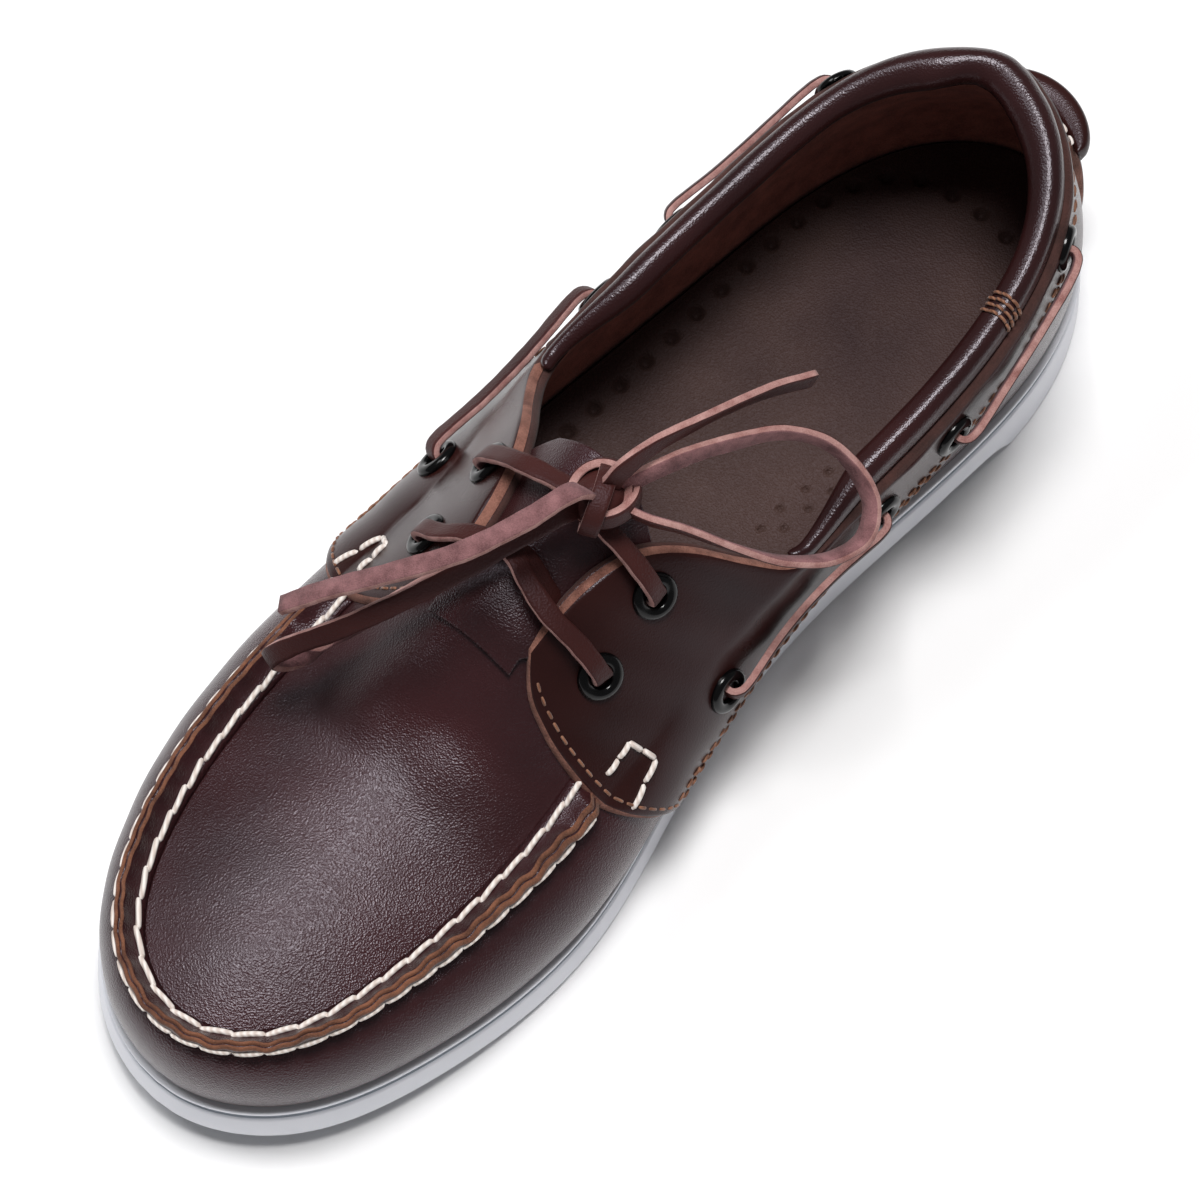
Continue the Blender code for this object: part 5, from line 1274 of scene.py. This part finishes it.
def throat_run(near, eyelet, rows, count):
    """Grid of a lace strip from a throat eyelet along the given rows."""
    share, height = EYELETS[eyelet]
    start = float(fitting(near, share, height)[1])
    first = [(share, start, 0.3), (share, start, 2.6), (share, start + 0.012, 4.4),
             (share, start + 0.05, 5.4), (share, start + 0.20, 5.5)]
    points, normals = over_ridge(near, first + rows)
    line = smooth_line(points, count)
    heading = unit(line[-1] - line[0])
    normal = spread(np.linspace(0.0, 1.0, count), np.linspace(0.0, 1.0, len(points)), normals)
    return ribbon(line, np.cross(normal + 0.5 * rolled_up, heading), seed=7)


CROSS_INNER = [(0.608, 1.72, 5.0), (0.606, 1.88, 3.9), (0.602, 2.00, 3.1), (0.597, 2.11, 2.0),
               (0.592, 2.22, -0.2), (0.588, 2.34, -2.4)]
CROSS_OUTER = [(0.601, 1.72, 4.6), (0.598, 1.88, 2.7), (0.596, 2.00, 1.2), (0.597, 2.11, 0.6),
               (0.600, 2.22, -0.8), (0.602, 2.34, -2.4)]
PULL = [(0.546, 1.78, 4.8), (0.547, 1.92, 3.0), (0.547, 2.01, 3.0)]
for name, eyelet, routes, count in (("crossing", "throat_front", (CROSS_INNER, CROSS_OUTER), 110),
                                    ("pull", "throat_rear", (PULL, PULL), 80)):
    grids = [throat_run(near, eyelet, rows, count) for near, rows in zip(("inner", "outer"), routes)]
    run_piece = add_lace("lace_throat_" + name, grids)
    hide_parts("lace_" + name)

# %% [markdown]
# ## The knot
# A bow knot is a band of lace wrapped round the crossing of the others. A rounded core carries
# three wraps, each a tilted ellipse of the same strip.

# %% Knot
KNOT_RADII = 0.0072 * np.array([0.85, 1.0, 0.72])
theta, phi = np.meshgrid(np.linspace(0.0, math.pi, 20), np.linspace(0.0, 2 * math.pi, 33)[:-1], indexing="ij")
ball = np.stack([np.sin(theta) * np.cos(phi), np.sin(theta) * np.sin(phi), np.cos(theta)], axis=-1)
knot_grids = [(KNOT + ball * KNOT_RADII * 0.86, True, False, 0)]
# Each wrap: tilt and heading in degrees, size as a share of the core, shift in mm
WRAPS = ((8, 28, 0.98, (0.4, -0.6, 0.1)), (62, 110, 0.92, (-0.6, 1.2, -0.2)),
         (78, -25, 0.90, (0.9, 1.6, -0.3)))
for tilt, heading, size, shift in WRAPS:
    angle = np.linspace(0.0, 2 * math.pi, 49)[:-1]
    a, b = math.radians(heading), math.radians(tilt)
    first = np.array([math.cos(a) * math.sin(b), math.sin(a) * math.sin(b), math.cos(b)])
    second = np.array([-math.sin(a), math.cos(a), 0.0])
    circle = np.cos(angle)[:, None] * first + np.sin(angle)[:, None] * second
    line = KNOT + np.array(shift) * MM + circle * KNOT_RADII * size
    axis = np.cross(first, second)
    tangent = unit(np.roll(line, -1, axis=0) - np.roll(line, 1, axis=0))
    outward_face = np.cross(axis, tangent)
    rim = (LACE_PROFILE[None, :, :1] * axis[None, None] * 0.0020
           - LACE_PROFILE[None, :, 1:] * outward_face[:, None] * 0.00095)
    knot_grids.append((line[:, None] + rim, True, True, np.broadcast_to(LACE_FACE, (48, 14))))
knot = add_piece("bow_knot", knot_grids, LACE_FINISHES, merge=1e-6, tidy=True)
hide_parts("lace_knot")

# %% [markdown]
# ## Tag and stitching
# A plain tag hangs under the outer saddle's edge. The saddles are sewn down with tan thread, one
# row along the front and two along the lower edge, set in from the edge by a few millimetres.


# %% Tag
def tag_place(u, v):
    """(u, v) to (t, h) of the tag: u along the shoe, v down from the saddle's edge."""
    share = 0.175 + 0.0542 * u
    t = at_side("outer", share * SOLE_LENGTH)
    z = saddle_lower(share) * COLLAR_HEIGHT - 0.001 - 0.008 * v
    return t, level(t, z)


tag_u, tag_v = np.meshgrid(np.linspace(0.0, 1.0, 25), np.linspace(0.0, 1.0, 14))
tag_t, tag_h = tag_place(tag_u, tag_v)
tag = add_piece("plain_tag", [(raised(tag_t, tag_h, 0.0006), False, False, 0)], [TAG_CLOTH])
thick = tag.modifiers.new("thickness", "SOLIDIFY")
thick.thickness = 0.0009
thick.offset = 0.0
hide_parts("side_tag")


# %% Saddle stitching
def saddle_line(side, u, v):
    """Points and normals on a saddle's face."""
    t, h = SADDLES[side](u, v)
    return raised(t, h, 0.00232), leather_normal(t, h)


LOWER_INSETS = (0.0030, 0.0056)
FRONT_INSET = 0.0031
row_u = np.linspace(0.0, 1.0, 500) * 0.97 + 0.02
for side, place in SADDLES.items():
    low, high = (leather(*place(row_u, np.full(500, v))) for v in (0.0, 1.0))
    tall = np.linalg.norm(high - low, axis=1)
    for row, inset in enumerate(LOWER_INSETS):
        line, normals = saddle_line(side, row_u, inset / tall)
        add_stitches("saddle_lower_row_%s_%d" % (side, row), line, normals, SADDLE_STITCH, TAN_THREAD,
                     seed=11 + row)
    line, normals = saddle_line(side, np.full(200, FRONT_INSET / SADDLE_LENGTH), np.linspace(0.06, 0.93, 200))
    add_stitches("saddle_front_row_" + side, line, normals, SADDLE_STITCH, TAN_THREAD, seed=13)

# %% [markdown]
# Where the seam runs in under the saddle, three sides of a box are sewn in the seam's white cord. The
# corners were measured, and each side is cut into whole stitches.

# %% Box stitch at the end of the seam
# Corners as shares of the length and of the collar's height
BOX_CORNERS = [(0.643, 0.560), (0.616, 0.590), (0.606, 0.510), (0.643, 0.462)]
for side in ("inner", "outer"):
    t, h = fitting(side, [row[0] for row in BOX_CORNERS], [row[1] for row in BOX_CORNERS])
    corners, normals = raised(t, h, 0.0024), leather_normal(t, h)
    for number in range(3):
        ends = np.linspace(corners[number], corners[number + 1], 12)
        span = float(np.linalg.norm(ends[-1] - ends[0]))
        count = max(int(round(span / 0.0052)), 1)
        between = np.linspace(normals[number], normals[number + 1], 12)
        add_stitches("box_stitch_%s_%d" % (side, number), ends, between,
                     (span / count, span / count * 0.98, 0.0013), WHITE_THREAD, seed=20 + number)

# %% [markdown]
# ## Light and floor
# White paper for a floor and a large soft lamp almost straight above, which puts the broad light on
# the plug and keeps the shadow close. A weaker cool lamp from the outer side and a little white light
# from all round fill the shadows.

# %% Studio
floor_mesh = bpy.data.meshes.new("floor")
floor_mesh.from_pydata([(-3, -3, 0), (3, -3, 0), (3, 3, 0), (-3, 3, 0)], [], [(0, 1, 2, 3)])
WHITE_PAPER = new_material("white_paper", {"Base Color": linear("#fbfbfc"), "Roughness": 0.8})[0]
floor_mesh.materials.append(WHITE_PAPER)
floor = bpy.data.objects.new("floor", floor_mesh)
bpy.context.scene.collection.objects.link(floor)


def add_lamp(name, place, size, power, colour):
    """A square area lamp that looks at the middle of the shoe."""
    data = bpy.data.lights.new(name, "AREA")
    data.size, data.energy, data.color = size, power, colour
    lamp = bpy.data.objects.new(name, data)
    away = unit(np.array(place) - [0.0, 0.0, 0.04])
    side = unit(np.cross(UP, away))
    frame_rows = np.stack([side, np.cross(away, side), away], axis=1)
    lamp.matrix_world = Matrix.Translation(place) @ Matrix([[*row] for row in frame_rows]).to_4x4()
    bpy.context.scene.collection.objects.link(lamp)


# Place, size of the square in metres, watts and colour
add_lamp("key", (-0.08, 0.10, 2.20), 0.7, 44.0, (1.0, 0.99, 0.98))
add_lamp("fill", (-1.20, -0.40, 2.00), 0.6, 10.0, (0.97, 0.98, 1.0))
world = bpy.data.worlds.new("white_room")
bpy.context.scene.world = world
world.use_nodes = True
background = world.node_tree.nodes["Background"]
background.inputs["Color"].default_value = (1.0, 1.0, 1.0, 1.0)
background.inputs["Strength"].default_value = 0.16
bpy.context.scene.view_settings.view_transform = "Standard"
